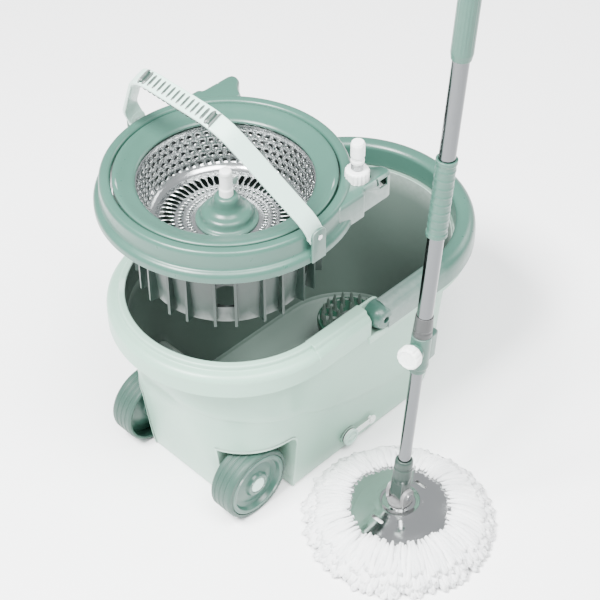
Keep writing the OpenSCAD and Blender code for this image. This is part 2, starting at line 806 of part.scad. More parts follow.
nut_h = 16;
module drive_nut() {
    color(dark) pole_place() translate([0, 0, low_top - nut_h - 4]) difference() {
        cylinder(r = low_r - tube_t - 0.08, h = nut_h);
        translate([0, 0, -1]) cylinder(r = 4.4, h = nut_h + 2);
        translate([-8, -0.7, nut_h - 3]) cube([16, 1.4, 4]);
    }
}

lock_z = 183;
tube_start = 232;
pole_top = (mop_h - pin_h) / cos(pole_lean);
cap_h = 26;
grip_z = 563;
module upper_tube() {
    color(steel) pole_place() tube(up_r, tube_start, pole_top - cap_h);
}

knob_turn = 190;
module lock_housing() {
    color(green) pole_place() rotate([0, 0, knob_turn]) difference() {
        union() {
            cylinder_at(9.4, lock_z, lock_z + 7);
            cylinder_at(11.2, lock_z + 7 - eps, lock_z + 14);
            cylinder_at(11, lock_z + 14 - 2 * eps, lock_z + 49);
            translate([-19, -10, lock_z + 15]) cube([19, 20, 33]);
            translate([0, 0, lock_z + 32]) rotate([0, 90, 0]) cylinder(r = 10, h = 14);
        }
        translate([0, 0, lock_z - 1]) cylinder(r = low_r + 0.06, h = 60);
        translate([0, 0, lock_z + 32]) rotate([0, 90, 0]) translate([0, 0, 9]) cylinder(r = 4, h = 10);
    }
}

module cylinder_at(r, z0, z1) {
    translate([0, 0, z0]) cylinder(r = r, h = z1 - z0);
}

module lock_knob() {
    color(white) pole_place() rotate([0, 0, knob_turn]) translate([0, 0, lock_z + 32])
        rotate([0, 90, 0]) {
            translate([0, 0, 9.5]) cylinder(r = 3.94, h = 6);
            translate([0, 0, 14.3]) difference() {
                union() {
                    cylinder(r1 = 11, r2 = 13, h = 3);
                    translate([0, 0, 3 - eps]) cylinder(r = 13, h = 7);
                    translate([0, 0, 10 - 2 * eps]) cylinder(r1 = 13, r2 = 10.5, h = 3);
                }
                for (i = [0 : 11]) rotate([0, 0, i * 30]) translate([13.8, 0, -1])
                    cylinder(r = 1.6, h = 20, $fn = 24);
            }
        }
}

module lock_ferrule() {
    color(dark) pole_place() difference() {
        union() {
            cylinder_at(10.4, lock_z + 49, lock_z + 56);
            translate([0, 0, lock_z + 56 - eps]) cylinder(r1 = 10.4, r2 = 9.4, h = 19);
        }
        translate([0, 0, lock_z]) cylinder(r = up_r, h = 90);
    }
}

sleeve_z = [362, 453];
module spin_sleeve() {
    color(green) pole_place() translate([0, 0, sleeve_z[0]]) difference() {
        union() {
            cylinder(r = 10.2, h = sleeve_z[1] - sleeve_z[0]);
            for (z = [0, sleeve_z[1] - sleeve_z[0] - 4]) translate([0, 0, z]) cylinder(r = 11, h = 4);
        }
        translate([0, 0, -1]) cylinder(r = up_r + 0.06, h = 120);
    }
}

// A flat strip twisted into a long screw, inside the tubes.
strip_len = 414;
module drive_screw() {
    color(steel) pole_place() {
        translate([0, 0, 340]) linear_extrude(strip_len, twist = -360 * 4, slices = 96, segments = 4)
            square([7.6, 1.8], center = true);
        translate([0, 0, 340 + strip_len - eps]) cylinder(r = up_r - tube_t, h = 6);
    }
}

module hand_grip() {
    color(green) pole_place() translate([0, 0, grip_z]) difference() {
        union() {
            cylinder(r1 = 9.6, r2 = 11, h = 8);
            translate([0, 0, 8 - eps]) cylinder(r = 11, h = pole_top - cap_h - grip_z - 8);
        }
        translate([0, 0, -1]) cylinder(r = up_r, h = 400);
    }
}

hang_r = 5.5;
module end_cap() {
    color(dark_green) pole_place() difference() {
        union() {
            translate([0, 0, pole_top - cap_h]) cylinder(r = 11, h = 8);
            translate([-11, -7, pole_top - cap_h + 7]) cube([22, 14, cap_h - 18]);
            translate([0, 0, pole_top - 11]) rotate([90, 0, 0]) translate([0, 0, -7])
                cylinder(r = 11, h = 14);
            translate([0, 0, pole_top - cap_h - 12]) cylinder(r = up_r - tube_t, h = 13);
        }
        translate([0, 20, pole_top - 11]) rotate([90, 0, 0]) cylinder(r = hang_r, h = 40);
    }
}

tub();
axle_stubs();
tub_feet();
drain_seal();
plug_strap();
handle_pins();
wash_plinth();
wash_pin();
tub_floor();
wheel_arches();
tub_rim();
tub_ledge();
drain_plug();
wash_disc();
wash_cap();
tub_handle();
wheel_left();
tyre_left();
hub_cap_left();
wheel_right();
tyre_right();
hub_cap_right();
collar();
cage();
cage_screws();
bearing();
thrust_pad();
soap_tank();
soap_nut();
bail_pins();
basket();
basket_rim();
basket_dome();
basket_spindle();
basket_hub();
basket_shaft();
bail_arms();
bail_grip();
soap_head();
soap_spring();
yoke();
fringe();
mop_plate();
mop_disc();
yoke_pin();
pole_socket();
lower_tube();
drive_nut();
upper_tube();
lock_housing();
lock_ferrule();
lock_knob();
spin_sleeve();
drive_screw();
hand_grip();
end_cap();
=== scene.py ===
"""Looks of a spin mop: a wheeled oval tub, a lift-out spinner with its steel basket, and a telescopic mop.

Lengths inside the shape functions are millimetres in the tub's own frame: +X towards the carry handle,
+Z up, and the middle of the tub at X = Y = 0.  welded() turns them into metres in the shared frame.
"""

import math

import bmesh
import bpy
import numpy as np
from bpy.props import FloatProperty, FloatVectorProperty, IntProperty, PointerProperty
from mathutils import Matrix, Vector


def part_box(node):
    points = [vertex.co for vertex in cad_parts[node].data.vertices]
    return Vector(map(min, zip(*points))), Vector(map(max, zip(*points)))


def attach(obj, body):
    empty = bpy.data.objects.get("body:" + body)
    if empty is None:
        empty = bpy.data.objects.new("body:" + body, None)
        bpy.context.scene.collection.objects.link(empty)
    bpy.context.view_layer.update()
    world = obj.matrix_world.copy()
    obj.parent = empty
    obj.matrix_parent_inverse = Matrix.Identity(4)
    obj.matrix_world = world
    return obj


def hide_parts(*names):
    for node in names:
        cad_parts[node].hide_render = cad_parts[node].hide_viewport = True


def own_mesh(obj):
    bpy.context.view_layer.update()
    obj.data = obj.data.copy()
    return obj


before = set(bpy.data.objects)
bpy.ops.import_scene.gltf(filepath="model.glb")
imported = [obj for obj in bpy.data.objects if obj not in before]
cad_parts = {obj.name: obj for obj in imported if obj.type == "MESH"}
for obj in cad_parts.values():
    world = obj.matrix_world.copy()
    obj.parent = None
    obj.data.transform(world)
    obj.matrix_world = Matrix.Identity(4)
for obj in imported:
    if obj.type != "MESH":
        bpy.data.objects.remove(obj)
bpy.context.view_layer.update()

bl_info = {
    "name": "Spin Mop",
    "version": (1, 0, 0),
    "blender": (4, 5, 0),
    "location": "View3D > Sidebar > Spin Mop",
    "description": "Builds the tub, the spinner, the basket and the mop round their mechanical frame",
    "category": "Object",
}

MM = 1000.0


def middle(node):
    """Centre of a mechanical node's box, in millimetres of the shared frame."""
    low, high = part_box(node)
    return (np.array(low) + np.array(high)) * MM / 2


# The spinner's axis is 96 mm towards the wheels from the middle of the tub.
SPIN_X = -96.0
# How far the pole and the bail lean towards the carry handle, in degrees.
POLE_LEAN = 5
BAIL_LEAN = -23
# Height of the drain's middle.
DRAIN_Z = 22
# Surfaces that would share a plane are kept this far apart.
HAIR = 0.12
TUB_HOME = np.array([middle("basket_shaft")[0] - SPIN_X, middle("basket_shaft")[1], 0.0])
WHEEL_AXIS = middle("axle_stubs") - TUB_HOME
WASH_AXIS = middle("wash_pin") - TUB_HOME
MOP_AXIS = middle("fringe") - TUB_HOME
TILT_PIN = middle("yoke_pin") - TUB_HOME
BAIL_PIN = middle("bail_pins") - TUB_HOME
SOAP_AXIS = middle("soap_head") - TUB_HOME
DRAIN_AXIS = middle("drain_seal") - TUB_HOME


# ---------------------------------------------------------------- frames and closed surfaces


class Frame:
    """A place to draw in: an origin and three unit directions."""

    def __init__(self, origin, x=(1, 0, 0), y=(0, 1, 0), z=(0, 0, 1)):
        self.origin = np.asarray(origin, float)
        self.axes = np.array([x, y, z], float)

    def out(self, local):
        """Local coordinates times the three directions, plus the origin."""
        return self.origin + np.asarray(local, float) @ self.axes


def leaning(origin, degrees):
    """A frame turned about +Y, so that its +Z leans towards +X by that many degrees."""
    s = math.sin(math.radians(degrees))
    c = math.cos(math.radians(degrees))
    return Frame(origin, (c, 0, -s), (0, 1, 0), (s, 0, c))


def along_y(origin, side):
    """A frame whose +Z points outwards along the wheel axle, on the +Y or the -Y side."""
    return Frame(origin, (1, 0, 0), (0, 0, 1), (0, side, 0))


TUB = Frame((0, 0, 0))
SPINNER = Frame((SPIN_X, 0, 0))
WASHER = Frame((WASH_AXIS[0], WASH_AXIS[1], 0))
SOAP = Frame((SOAP_AXIS[0], SOAP_AXIS[1], 0))
MOP = Frame((MOP_AXIS[0], MOP_AXIS[1], 0))
DRAIN = along_y((DRAIN_AXIS[0], 0, DRAIN_Z), -1)
POLE = leaning(TILT_PIN, POLE_LEAN)
BAIL = leaning(BAIL_PIN, BAIL_LEAN)


class Shell:
    """One closed surface: its points, its four-sided faces, and its many-sided faces."""

    def __init__(self, points, quads, caps=()):
        self.points = np.asarray(points, float).reshape(-1, 3)
        self.quads = np.asarray(quads, int).reshape(-1, 4)
        self.caps = [np.asarray(c, int) for c in caps]
        if self.volume() < 0:
            self.quads = self.quads[:, ::-1]
            self.caps = [c[::-1] for c in self.caps]

    def volume(self):
        """Sum over the surface's triangles of a sixth of the box product of their corners."""
        fans = [self.quads[:, [0, 1, 2]], self.quads[:, [0, 2, 3]]]
        for c in self.caps:
            fans.append(np.stack([np.full(len(c) - 2, c[0]), c[1:-1], c[2:]], 1))
        t = self.points[np.concatenate(fans)]
        return np.einsum("ij,ij->i", t[:, 0], np.cross(t[:, 1], t[:, 2])).sum() / 6


def lattice(nu, nv, wrap_u, wrap_v):
    """Numbers of the four corners of every cell of a grid of nu by nv points."""
    i = np.arange(nu if wrap_u else nu - 1)[:, None]
    j = np.arange(nv if wrap_v else nv - 1)[None, :]
    k = (i + 1) % nu
    m = (j + 1) % nv
    return np.stack([i * nv + j, k * nv + j, k * nv + m, i * nv + m], -1).reshape(-1, 4)


def skin(grid, wrap_u=False, wrap_v=True):
    """A closed surface over a grid of points; where the first direction doesn't wrap, its two ends are capped."""
    nu, nv = grid.shape[:2]
    caps = [] if wrap_u else [np.arange(nv), (nu - 1) * nv + np.arange(nv)[::-1]]
    return Shell(grid.reshape(-1, 3), lattice(nu, nv, wrap_u, wrap_v), caps)


def rounded(outline, radius, closed=True, steps=4):
    """A polygon with softened corners: each corner becomes a parabola that begins and ends a radius away from it.
    A short straight piece is kept at each side of the bend, so that the flats stay flat in shading."""
    p = np.asarray(outline, float)
    a = np.roll(p, 1, 0) - p
    b = np.roll(p, -1, 0) - p
    la = np.linalg.norm(a, axis=1)
    lb = np.linalg.norm(b, axis=1)
    r = np.minimum(np.broadcast_to(np.asarray(radius, float), la.shape), 0.42 * np.minimum(la, lb))
    start = p + a * (r / la)[:, None]
    stop = p + b * (r / lb)[:, None]
    t = np.linspace(0, 1, steps + 1)[None, :, None]
    bend = (1 - t) ** 2 * start[:, None] + 2 * t * (1 - t) * p[:, None] + t**2 * stop[:, None]
    before = (p + a * (1.15 * r / la)[:, None])[:, None]
    after = (p + b * (1.15 * r / lb)[:, None])[:, None]
    out = np.concatenate([before, bend, after], 1)
    if closed:
        return out.reshape(-1, p.shape[1])
    return np.concatenate([p[:1], out[1:-1].reshape(-1, p.shape[1]), p[-1:]])


def turned(profile, place=TUB, count=72, closed=False, soft=0.8, flute=None):
    """A turned shape: a profile of radius and height carried once round the frame's Z axis.
    flute gives a factor on the radius for each angle and height, for ribs and scallops."""
    p = rounded(profile, soft, closed)
    a = np.linspace(0, 2 * math.pi, count, endpoint=False)[:, None]
    r = np.broadcast_to(p[None, :, 0], (count, len(p)))
    if flute is not None:
        r = r * flute(a, p[None, :, 1])
    z = np.broadcast_to(p[None, :, 1], (count, len(p)))
    grid = place.out(np.stack([r * np.cos(a), r * np.sin(a), z], -1))
    return skin(grid, wrap_u=True, wrap_v=closed)


def inset(outline, d):
    """An outline moved inwards: each point goes along the mean of its two edges' normals."""
    e = np.roll(outline, -1, 0) - outline
    e = e / np.maximum(np.linalg.norm(e, axis=1), 1e-9)[:, None]
    n = np.stack([-e[:, 1], e[:, 0]], 1)
    turn = np.sum(np.cross(np.roll(outline, 1, 0), outline))
    n = n if turn > 0 else -n
    mean = n + np.roll(n, 1, 0)
    mean = mean / np.maximum(np.sum(mean * mean, 1), 0.5)[:, None] * 2
    return outline + mean * d


def stacked(outline, radii, levels, place=TUB):
    """Rings of one outline, each at its own height: the corners are moved in first, and rounded afterwards by what
    is left of their radius, so that a ring never crosses itself."""
    o = np.asarray(outline, float)
    r = np.broadcast_to(np.asarray(radii, float), (len(o),))
    rings = []
    for d, z in levels:
        ring = rounded(inset(o, d), np.maximum(r - d, 0.25))
        rings.append(np.column_stack([ring, np.full(len(ring), z)]))
    return skin(place.out(np.array(rings)))


def slab(outline, radii, z0, z1, place=TUB, soft=0.8, steps=3):
    """An outline drawn along the frame's Z axis, with a quarter round of that radius at each end."""
    t = np.linspace(0, math.pi / 2, steps + 1)
    depth = np.concatenate([soft * (1 - np.sin(t)), [0, 0], soft * (1 - np.cos(t))])
    low = z0 + soft * (1 - np.cos(t))
    high = z1 - soft * (1 - np.sin(t))
    height = np.concatenate([low, [z0 + soft * 1.2, z1 - soft * 1.2], high])
    return stacked(outline, radii, zip(depth, height), place)


def carried(section, path, side, up):
    """A closed section carried along a path: path point + first coordinate x side + second coordinate x up."""
    s = np.asarray(section, float)
    side = np.broadcast_to(side, path.shape)
    up = np.broadcast_to(up, path.shape)
    return skin(path[:, None] + s[None, :, :1] * side[:, None] + s[None, :, 1:] * up[:, None])


def mirrored(shell):
    """The same surface on the other side of the tub's middle plane."""
    return Shell(shell.points * [1, -1, 1], shell.quads, shell.caps)


def box_outline(x0, x1, y0, y1):
    """A rectangle's four corners."""
    return [[x0, y0], [x1, y0], [x1, y1], [x0, y1]]


def bore(radius, low, high, place, count):
    """A round cutter along the frame's Z axis."""
    return turned(box_outline(0, radius, low, high), place, count, soft=0.01)


def tube(inner, outer, low, high, place, count, soft):
    """A round tube along the frame's Z axis, with softened edges."""
    return turned(box_outline(inner, outer, low, high), place, count, True, soft)


def around(place, radius, angles):
    """Upright frames at those angles on a circle round the frame's Z axis."""
    return [Frame(place.out([radius * math.cos(a), radius * math.sin(a), 0])) for a in angles]


# ---------------------------------------------------------------- putting surfaces into the scene


def welded(name, points, faces, reach=2e-6):
    """A mesh in metres of the shared frame, from lists of points; those closer than reach become one."""
    mesh = bpy.data.meshes.new(name)
    mesh.from_pydata(((np.concatenate(points) + TUB_HOME) / MM).tolist(), [], faces)
    work = bmesh.new()
    work.from_mesh(mesh)
    bmesh.ops.remove_doubles(work, verts=work.verts, dist=reach)
    work.to_mesh(mesh)
    work.free()
    return mesh


def mesh_of(name, shells):
    """One mesh of several closed surfaces, with poles and seams joined."""
    points = []
    faces = []
    base = 0
    for shell in shells:
        points.append(shell.points)
        faces += (shell.quads + base).tolist()
        faces += [(c + base).tolist() for c in shell.caps]
        base += len(shell.points)
    return welded(name, points, faces)


def carved(shells, cutters, operation="DIFFERENCE"):
    """The surfaces with the cutters taken away, or only what they share, as one surface."""
    objects = []
    for name, parts in (("carved", shells), ("cutters", cutters)):
        o = bpy.data.objects.new(name, mesh_of(name, parts))
        bpy.context.scene.collection.objects.link(o)
        objects.append(o)
    cut = objects[0].modifiers.new("cut", "BOOLEAN")
    cut.operation = operation
    cut.solver = "EXACT"
    cut.object = objects[1]
    result = objects[0].evaluated_get(bpy.context.evaluated_depsgraph_get()).to_mesh()
    points = np.zeros(len(result.vertices) * 3)
    result.vertices.foreach_get("co", points)
    faces = [list(p.vertices) for p in result.polygons]
    for o in objects:
        mesh = o.data
        bpy.data.objects.remove(o)
        bpy.data.meshes.remove(mesh)
    if not faces:
        raise RuntimeError("nothing was left after the cut")
    return Shell(points.reshape(-1, 3) * MM - TUB_HOME, np.zeros((0, 4), int), faces)


def fasten(name, shells, body, slot, stands_for, crease=34, look=None):
    """Puts surfaces into the scene as one piece that moves with a body, in place of some mechanical nodes.
    Its finish is the slot's own, unless another look is named."""
    mesh = shells if isinstance(shells, bpy.types.Mesh) else mesh_of(name, shells)
    mesh.name = name
    mesh.shade_smooth()
    mesh.set_sharp_from_angle(angle=math.radians(crease))
    piece = bpy.data.objects.new(name, mesh)
    bpy.context.scene.collection.objects.link(piece)
    mesh.materials.append(finish(look or slot))
    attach(piece, body)
    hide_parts(*stands_for)
    return piece


# ---------------------------------------------------------------- materials


class Wire:
    """A socket of a shader node that can be used in an ordinary expression; each step adds a Math node."""

    def __init__(self, recipe, socket):
        self.recipe = recipe
        self.socket = socket

    def math(self, operation, a, b):
        """One Math node on two values or wires."""
        return self.recipe.node("ShaderNodeMath", {"operation": operation}, {0: a, 1: b})

    def __add__(self, other):
        return self.math("ADD", self, other)

    __radd__ = __add__

    def __sub__(self, other):
        return self.math("SUBTRACT", self, other)

    def __rsub__(self, other):
        return self.math("SUBTRACT", other, self)

    def __mul__(self, other):
        return self.math("MULTIPLY", self, other)

    __rmul__ = __mul__

    def held(self, low, high):
        """The value kept between two limits."""
        return self.math("MINIMUM", self.math("MAXIMUM", self, low), high)


class Recipe:
    """One material under construction: its tree, its surface shader, and a way to add any node."""

    def __init__(self, name, roughness=0.5, **constants):
        self.material = bpy.data.materials.new(name)
        self.material.use_nodes = True
        self.tree = self.material.node_tree
        self.shader = self.tree.nodes["Principled BSDF"]
        self.shader.inputs["Roughness"].default_value = roughness
        for socket, value in constants.items():
            self.shader.inputs[socket.replace("_", " ")].default_value = value

    def node(self, kind, settings=None, inputs=None, output=0):
        """Adds a node: its settings first, then a value or a wire for each input, and gives the wanted output."""
        made = self.tree.nodes.new(kind)
        for key, value in (settings or {}).items():
            if key == "stops":
                ramp = made.color_ramp.elements
                while len(ramp) < len(value):
                    ramp.new(0.5)
                for element, (position, colour) in zip(ramp, value):
                    element.position = position
                    element.color = (*colour, 1.0)
            else:
                setattr(made, key, value)
        for key, value in (inputs or {}).items():
            if isinstance(value, Wire):
                self.tree.links.new(value.socket, made.inputs[key])
            else:
                made.inputs[key].default_value = value
        return Wire(self, made.outputs[output])

    def place(self, scale=(1, 1, 1), turn=(0, 0, 0), centre=(0, 0, 0)):
        """Object coordinates in metres, moved to a centre, turned and scaled."""
        spot = self.node("ShaderNodeTexCoord", output="Object")
        moved = self.node("ShaderNodeMapping", inputs={"Vector": spot, "Location": [-c for c in centre]})
        return self.node("ShaderNodeMapping", inputs={"Vector": moved, "Rotation": turn, "Scale": scale})

    def cloud(self, spot, scale, detail=2.0, rough=0.5):
        """Soft noise from 0 to 1."""
        inputs = {"Vector": spot, "Scale": scale, "Detail": detail, "Roughness": rough}
        return self.node("ShaderNodeTexNoise", inputs=inputs)

    def blend(self, factor, a, b):
        """Colour a where the factor is 0, and colour b where it is 1."""
        return self.node("ShaderNodeMix", {"data_type": "RGBA"}, {0: factor, 6: a, 7: b}, output=2)

    def split(self, spot):
        """The three parts of a vector, as wires."""
        made = self.tree.nodes.new("ShaderNodeSeparateXYZ")
        self.tree.links.new(spot.socket, made.inputs[0])
        return [Wire(self, made.outputs[i]) for i in range(3)]

    def set(self, socket, wire):
        """Feeds one of the shader's inputs."""
        self.tree.links.new(wire.socket, self.shader.inputs[socket])

    def relief(self, height, distance, strength=1.0):
        """Feeds the shader's normal from a height; the distance is in metres."""
        bump = self.node(
            "ShaderNodeBump",
            inputs={"Height": height, "Distance": distance, "Strength": strength},
            output="Normal",
        )
        self.set("Normal", bump)
        return self.material


def rgba(colour):
    """A colour with full cover."""
    return (colour[0], colour[1], colour[2], 1.0)


def shade_of(colour, factor):
    """The colour made lighter or darker by a factor."""
    return tuple(min(1.0, c * factor) for c in colour)


# Height of the point that the tub's inner faces, coloured with painted shade, look towards, in metres.
SHADE_POINT_Z = 0.245


def moulded(name, colour, roughness, grain=520.0, depth=0.00004, wear_and_highlight=0.35, clouding=0.12, shade=None):
    """Moulded plastic: a slightly clouded colour, the fine skin of the mould, and edges made lighter, partly as worn
    edges and partly as a painted highlight.
    With a shade colour, faces that look inwards to a point high in the tub take that colour: painted shade for the
    tub's dim inside."""
    r = Recipe(name, roughness, IOR=1.46)
    spot = r.place()
    drift = r.cloud(spot, 11.0, 3.0)
    fine = r.cloud(spot, 160.0, 2.0)
    body = r.blend(
        (drift * 1.6 - 0.3).held(0, 1),
        rgba(shade_of(colour, 1 - clouding)),
        rgba(shade_of(colour, 1 + clouding * 0.6)),
    )
    if shade is not None:
        facing = r.node("ShaderNodeNewGeometry", output="Normal")
        lever = r.place(centre=(TUB_HOME / MM + [0, 0, SHADE_POINT_Z]).tolist())
        inward = r.node("ShaderNodeVectorMath", {"operation": "DOT_PRODUCT"}, {0: facing, 1: lever}, output="Value")
        # Painted shade: faces turned in towards the point high in the tub take the darker colour in place of the
        # shade inside the tub.
        body = r.blend((inward * -22.0 - 0.1).held(0, 1), body, rgba(shade))
    # Edges are lightened: partly worn edges, partly a painted highlight along them.
    edge = r.node("ShaderNodeNewGeometry", output="Pointiness")
    edge_wear_and_highlight = ((edge - 0.515) * 14.0).held(0, 1) * wear_and_highlight * (0.5 + fine)
    pale = tuple(0.55 * c + 0.42 for c in colour)
    r.set("Base Color", r.blend(edge_wear_and_highlight, body, rgba(pale)))
    r.set("Roughness", (roughness - 0.07 + 0.16 * fine - 0.05 * drift).held(0.05, 1))
    return r.relief(r.cloud(spot, grain, 2.0) + 0.5 * fine, depth)


def rubbery(name, colour, roughness):
    """Rubber: dark, matt, with a dusty bloom in patches and a coarse skin."""
    r = Recipe(name, roughness, IOR=1.5)
    spot = r.place()
    bloom = r.cloud(spot, 45.0, 4.0, 0.6)
    r.set("Base Color", r.blend((bloom * 2 - 0.8).held(0, 1) * 0.4, rgba(colour), rgba(shade_of(colour, 2.2))))
    r.set("Roughness", (roughness - 0.1 + 0.2 * bloom).held(0.1, 1))
    return r.relief(r.cloud(spot, 900.0, 3.0), 0.00006)


def drawn_steel(name, colour, roughness, turn=(0, 0, 0), streak=(420, 420, 3), rub=0.10):
    """Bright tube: fine drawing marks along one direction, and faint smears where hands go."""
    r = Recipe(name, roughness, Metallic=1.0)
    lines = r.cloud(r.place(streak, turn), 1.0, 3.0, 0.6)
    smear = r.cloud(r.place(), 28.0, 3.0, 0.6)
    r.set("Base Color", r.blend((lines * 1.4 - 0.2).held(0, 1), rgba(shade_of(colour, 0.93)), rgba(colour)))
    r.set("Roughness", (roughness + rub * (lines - 0.5) + 0.09 * (smear * 2 - 0.9).held(0, 1)).held(0.02, 1))
    return r.relief(lines, 0.000012)


def spun_steel(name, colour, roughness, centre):
    """Pressed and polished sheet: rings of fine turning marks round an axis, and cloudy smears."""
    r = Recipe(name, roughness, Metallic=1.0)
    x, y, z = r.split(r.place(centre=centre))
    radius = r.node(
        "ShaderNodeVectorMath",
        {"operation": "LENGTH"},
        {0: r.node("ShaderNodeCombineXYZ", inputs={0: x, 1: y})},
        output="Value",
    )
    rings = r.cloud(r.node("ShaderNodeCombineXYZ", inputs={0: radius * 900.0, 1: z * 900.0}), 1.0, 2.0)
    smear = r.cloud(r.place(), 24.0, 3.0, 0.6)
    r.set("Base Color", r.blend((smear * 1.5 - 0.3).held(0, 1), rgba(shade_of(colour, 0.92)), rgba(colour)))
    r.set("Roughness", (roughness + 0.10 * (rings - 0.5) + 0.10 * (smear * 2 - 0.9).held(0, 1)).held(0.03, 1))
    return r.relief(rings, 0.00001)


def pile(name, colour, hollow):
    """Microfibre pile: each loop has its own random tone, mixed between the fibre colour and a grey painted shade,
    and short hairs roughen the surface.
    """
    r = Recipe(name, 0.95, Sheen_Weight=0.35, Sheen_Roughness=0.6, Specular_IOR_Level=0.2)
    tone = r.node("ShaderNodeAttribute", {"attribute_name": "tone"}, output="Fac")
    spot = r.place()
    tuft = r.cloud(spot, 420.0, 3.0, 0.7)
    hair = r.cloud(r.place((900, 900, 260)), 1.0, 2.0, 0.6)
    mixed = (0.55 * tone + 0.45 * tuft).held(0, 1)
    # Each loop and tuft is mixed at random between the fibre colour and the grey painted shade.
    r.set("Base Color", r.blend(mixed, rgba(hollow), rgba(colour)))
    r.set("Roughness", (0.86 + 0.14 * hair).held(0, 1))
    return r.relief(tuft + 0.8 * hair, 0.0009, 0.8)


def floor_paint(name, colour):
    """A plain matt studio floor with a barely visible unevenness."""
    r = Recipe(name, 0.9, Specular_IOR_Level=0.1)
    drift = r.cloud(r.place(), 3.0, 2.0)
    r.set("Base Color", r.blend(drift, rgba(shade_of(colour, 0.985)), rgba(colour)))
    return r.relief(r.cloud(r.place(), 240.0, 2.0), 0.00002)


FINISHES = {}


def finish(slot):
    """The material of one of the record's slots, made when it is first asked for."""
    if slot not in FINISHES:
        c = bpy.context.scene.mop_colours
        recipes = {
            # The tub's last colour is painted shade for its inner faces.
            "tub_plastic": (moulded, c.tub, 0.36, 380.0, 0.00003, 0.25, 0.05, c.tub_inside_painted_shade),
            "green_plastic": (moulded, c.green, 0.33, 460.0, 0.00003),
            "dark_green_plastic": (moulded, c.dark_green, 0.38, 460.0, 0.00004),
            "deep_green_plastic": (moulded, c.deep_green, 0.35, 460.0, 0.00004),
            "pale_plastic": (moulded, c.pale, 0.32, 420.0, 0.00003, 0.2, 0.04),
            "white_plastic": (moulded, c.white, 0.3, 420.0, 0.00003, 0.15, 0.03),
            "black_plastic": (moulded, (0.03, 0.032, 0.032), 0.4, 500.0, 0.00004, 0.3),
            "wheel_tread": (moulded, c.tread, 0.5, 300.0, 0.00008, 0.3),
            "black_rubber": (rubbery, (0.022, 0.022, 0.023), 0.7),
            "bright_steel": (drawn_steel, (0.72, 0.73, 0.74), 0.25),
            "chrome": (drawn_steel, (0.12, 0.125, 0.13), 0.09, (0, math.radians(-POLE_LEAN), 0)),
            "basket_steel": (spun_steel, (0.5, 0.52, 0.52), 0.16, (SPINNER.origin + TUB_HOME) / MM),
            "disc_steel": (spun_steel, (0.5, 0.51, 0.51), 0.08, (MOP.origin + TUB_HOME) / MM),
            "microfibre": (pile, c.fibre, c.fibre_painted_shade),
        }
        maker, *values = recipes[slot]
        FINISHES[slot] = maker(slot, *values)
    return FINISHES[slot]


# ---------------------------------------------------------------- tub

RIM_Z = 245.5
LEDGE_Z = 212.5
FLOOR_Z = 13.3
UNDER_Z = 10.7
FOOT_Z = 2.0
MOUTH_R = 118.5
BODY_R = 120.5
FOOT_R = 104.0
CORNER_R = 45.0
WALL = 2.6
# The inner face is set in this far from the full outer form.
INNER_DEPTH = WALL - 0.3
# The front, top and inner limits of a wheel's space.
ARCH_X = -102
ARCH_Z = 95
ARCH_Y = 63
LEFT_C = -91.0
RIGHT_C = 96.0
BLOCK = (-97.0, -17.0)
PIVOT = (1.0, 228.5)
TUB_NODES = ("tub", "tub_floor", "wheel_arches", "tub_rim", "tub_ledge")


def outline_stations(bend=40, side=26, flat=12):
    """Walk round the tub once: the outward angle, and the centres that it is measured from at the foot and the top.
    Round the carry handle's end both centres stand still, along the sides they slide, and the wheel end's foot
    has a centre for each corner while the top keeps one."""
    corner = np.array([-124.4, 59.0])
    right = np.array([RIGHT_C, 0.0])
    left = np.array([LEFT_C, 0.0])
    flip = np.array([1, -1])
    t = np.linspace(0, 1, side, endpoint=False)[:, None]
    k = np.linspace(0, 1, flat, endpoint=False)[:, None]
    half = np.linspace(-90, 90, bend, endpoint=False)
    quarter = bend // 2
    angle = [half, np.full(side, 90.0), np.linspace(90, 180, quarter, endpoint=False), np.full(flat, 180.0)]
    angle += [np.linspace(180, 270, quarter, endpoint=False), np.full(side, 270.0)]
    foot = [np.tile(right, (bend, 1)), (1 - t) * right + t * corner, np.tile(corner, (quarter, 1))]
    foot += [(1 - k) * corner + k * corner * flip, np.tile(corner * flip, (quarter, 1))]
    foot += [(1 - t) * corner * flip + t * right]
    top = [np.tile(right, (bend, 1)), (1 - t) * right + t * left, np.tile(left, (quarter, 1))]
    top += [np.tile(left, (flat + quarter, 1)), (1 - t) * left + t * right]
    fall = (FOOT_R - CORNER_R) * t[:, 0]
    foot_r = [np.full(bend, FOOT_R), FOOT_R - fall, np.full(2 * quarter + flat, CORNER_R), CORNER_R + fall]
    return np.radians(np.concatenate(angle)), np.concatenate(foot), np.concatenate(top), np.concatenate(foot_r)


def wall_rings(heights, depth):
    """Rings of the tub's wall: from foot to top the centre and the radius run evenly, and depth is taken off along
    the outward direction.  heights and depth hold a value for each ring and each station."""
    angle, foot, top, foot_r = outline_stations()
    s = (heights - FOOT_Z) / (LEDGE_Z - FOOT_Z)
    centre = (1 - s)[..., None] * foot + s[..., None] * top
    r = (1 - s) * foot_r + s * BODY_R - depth
    x = centre[..., 0] + r * np.cos(angle)
    y = centre[..., 1] + r * np.sin(angle)
    return np.stack([x, y, heights], -1)


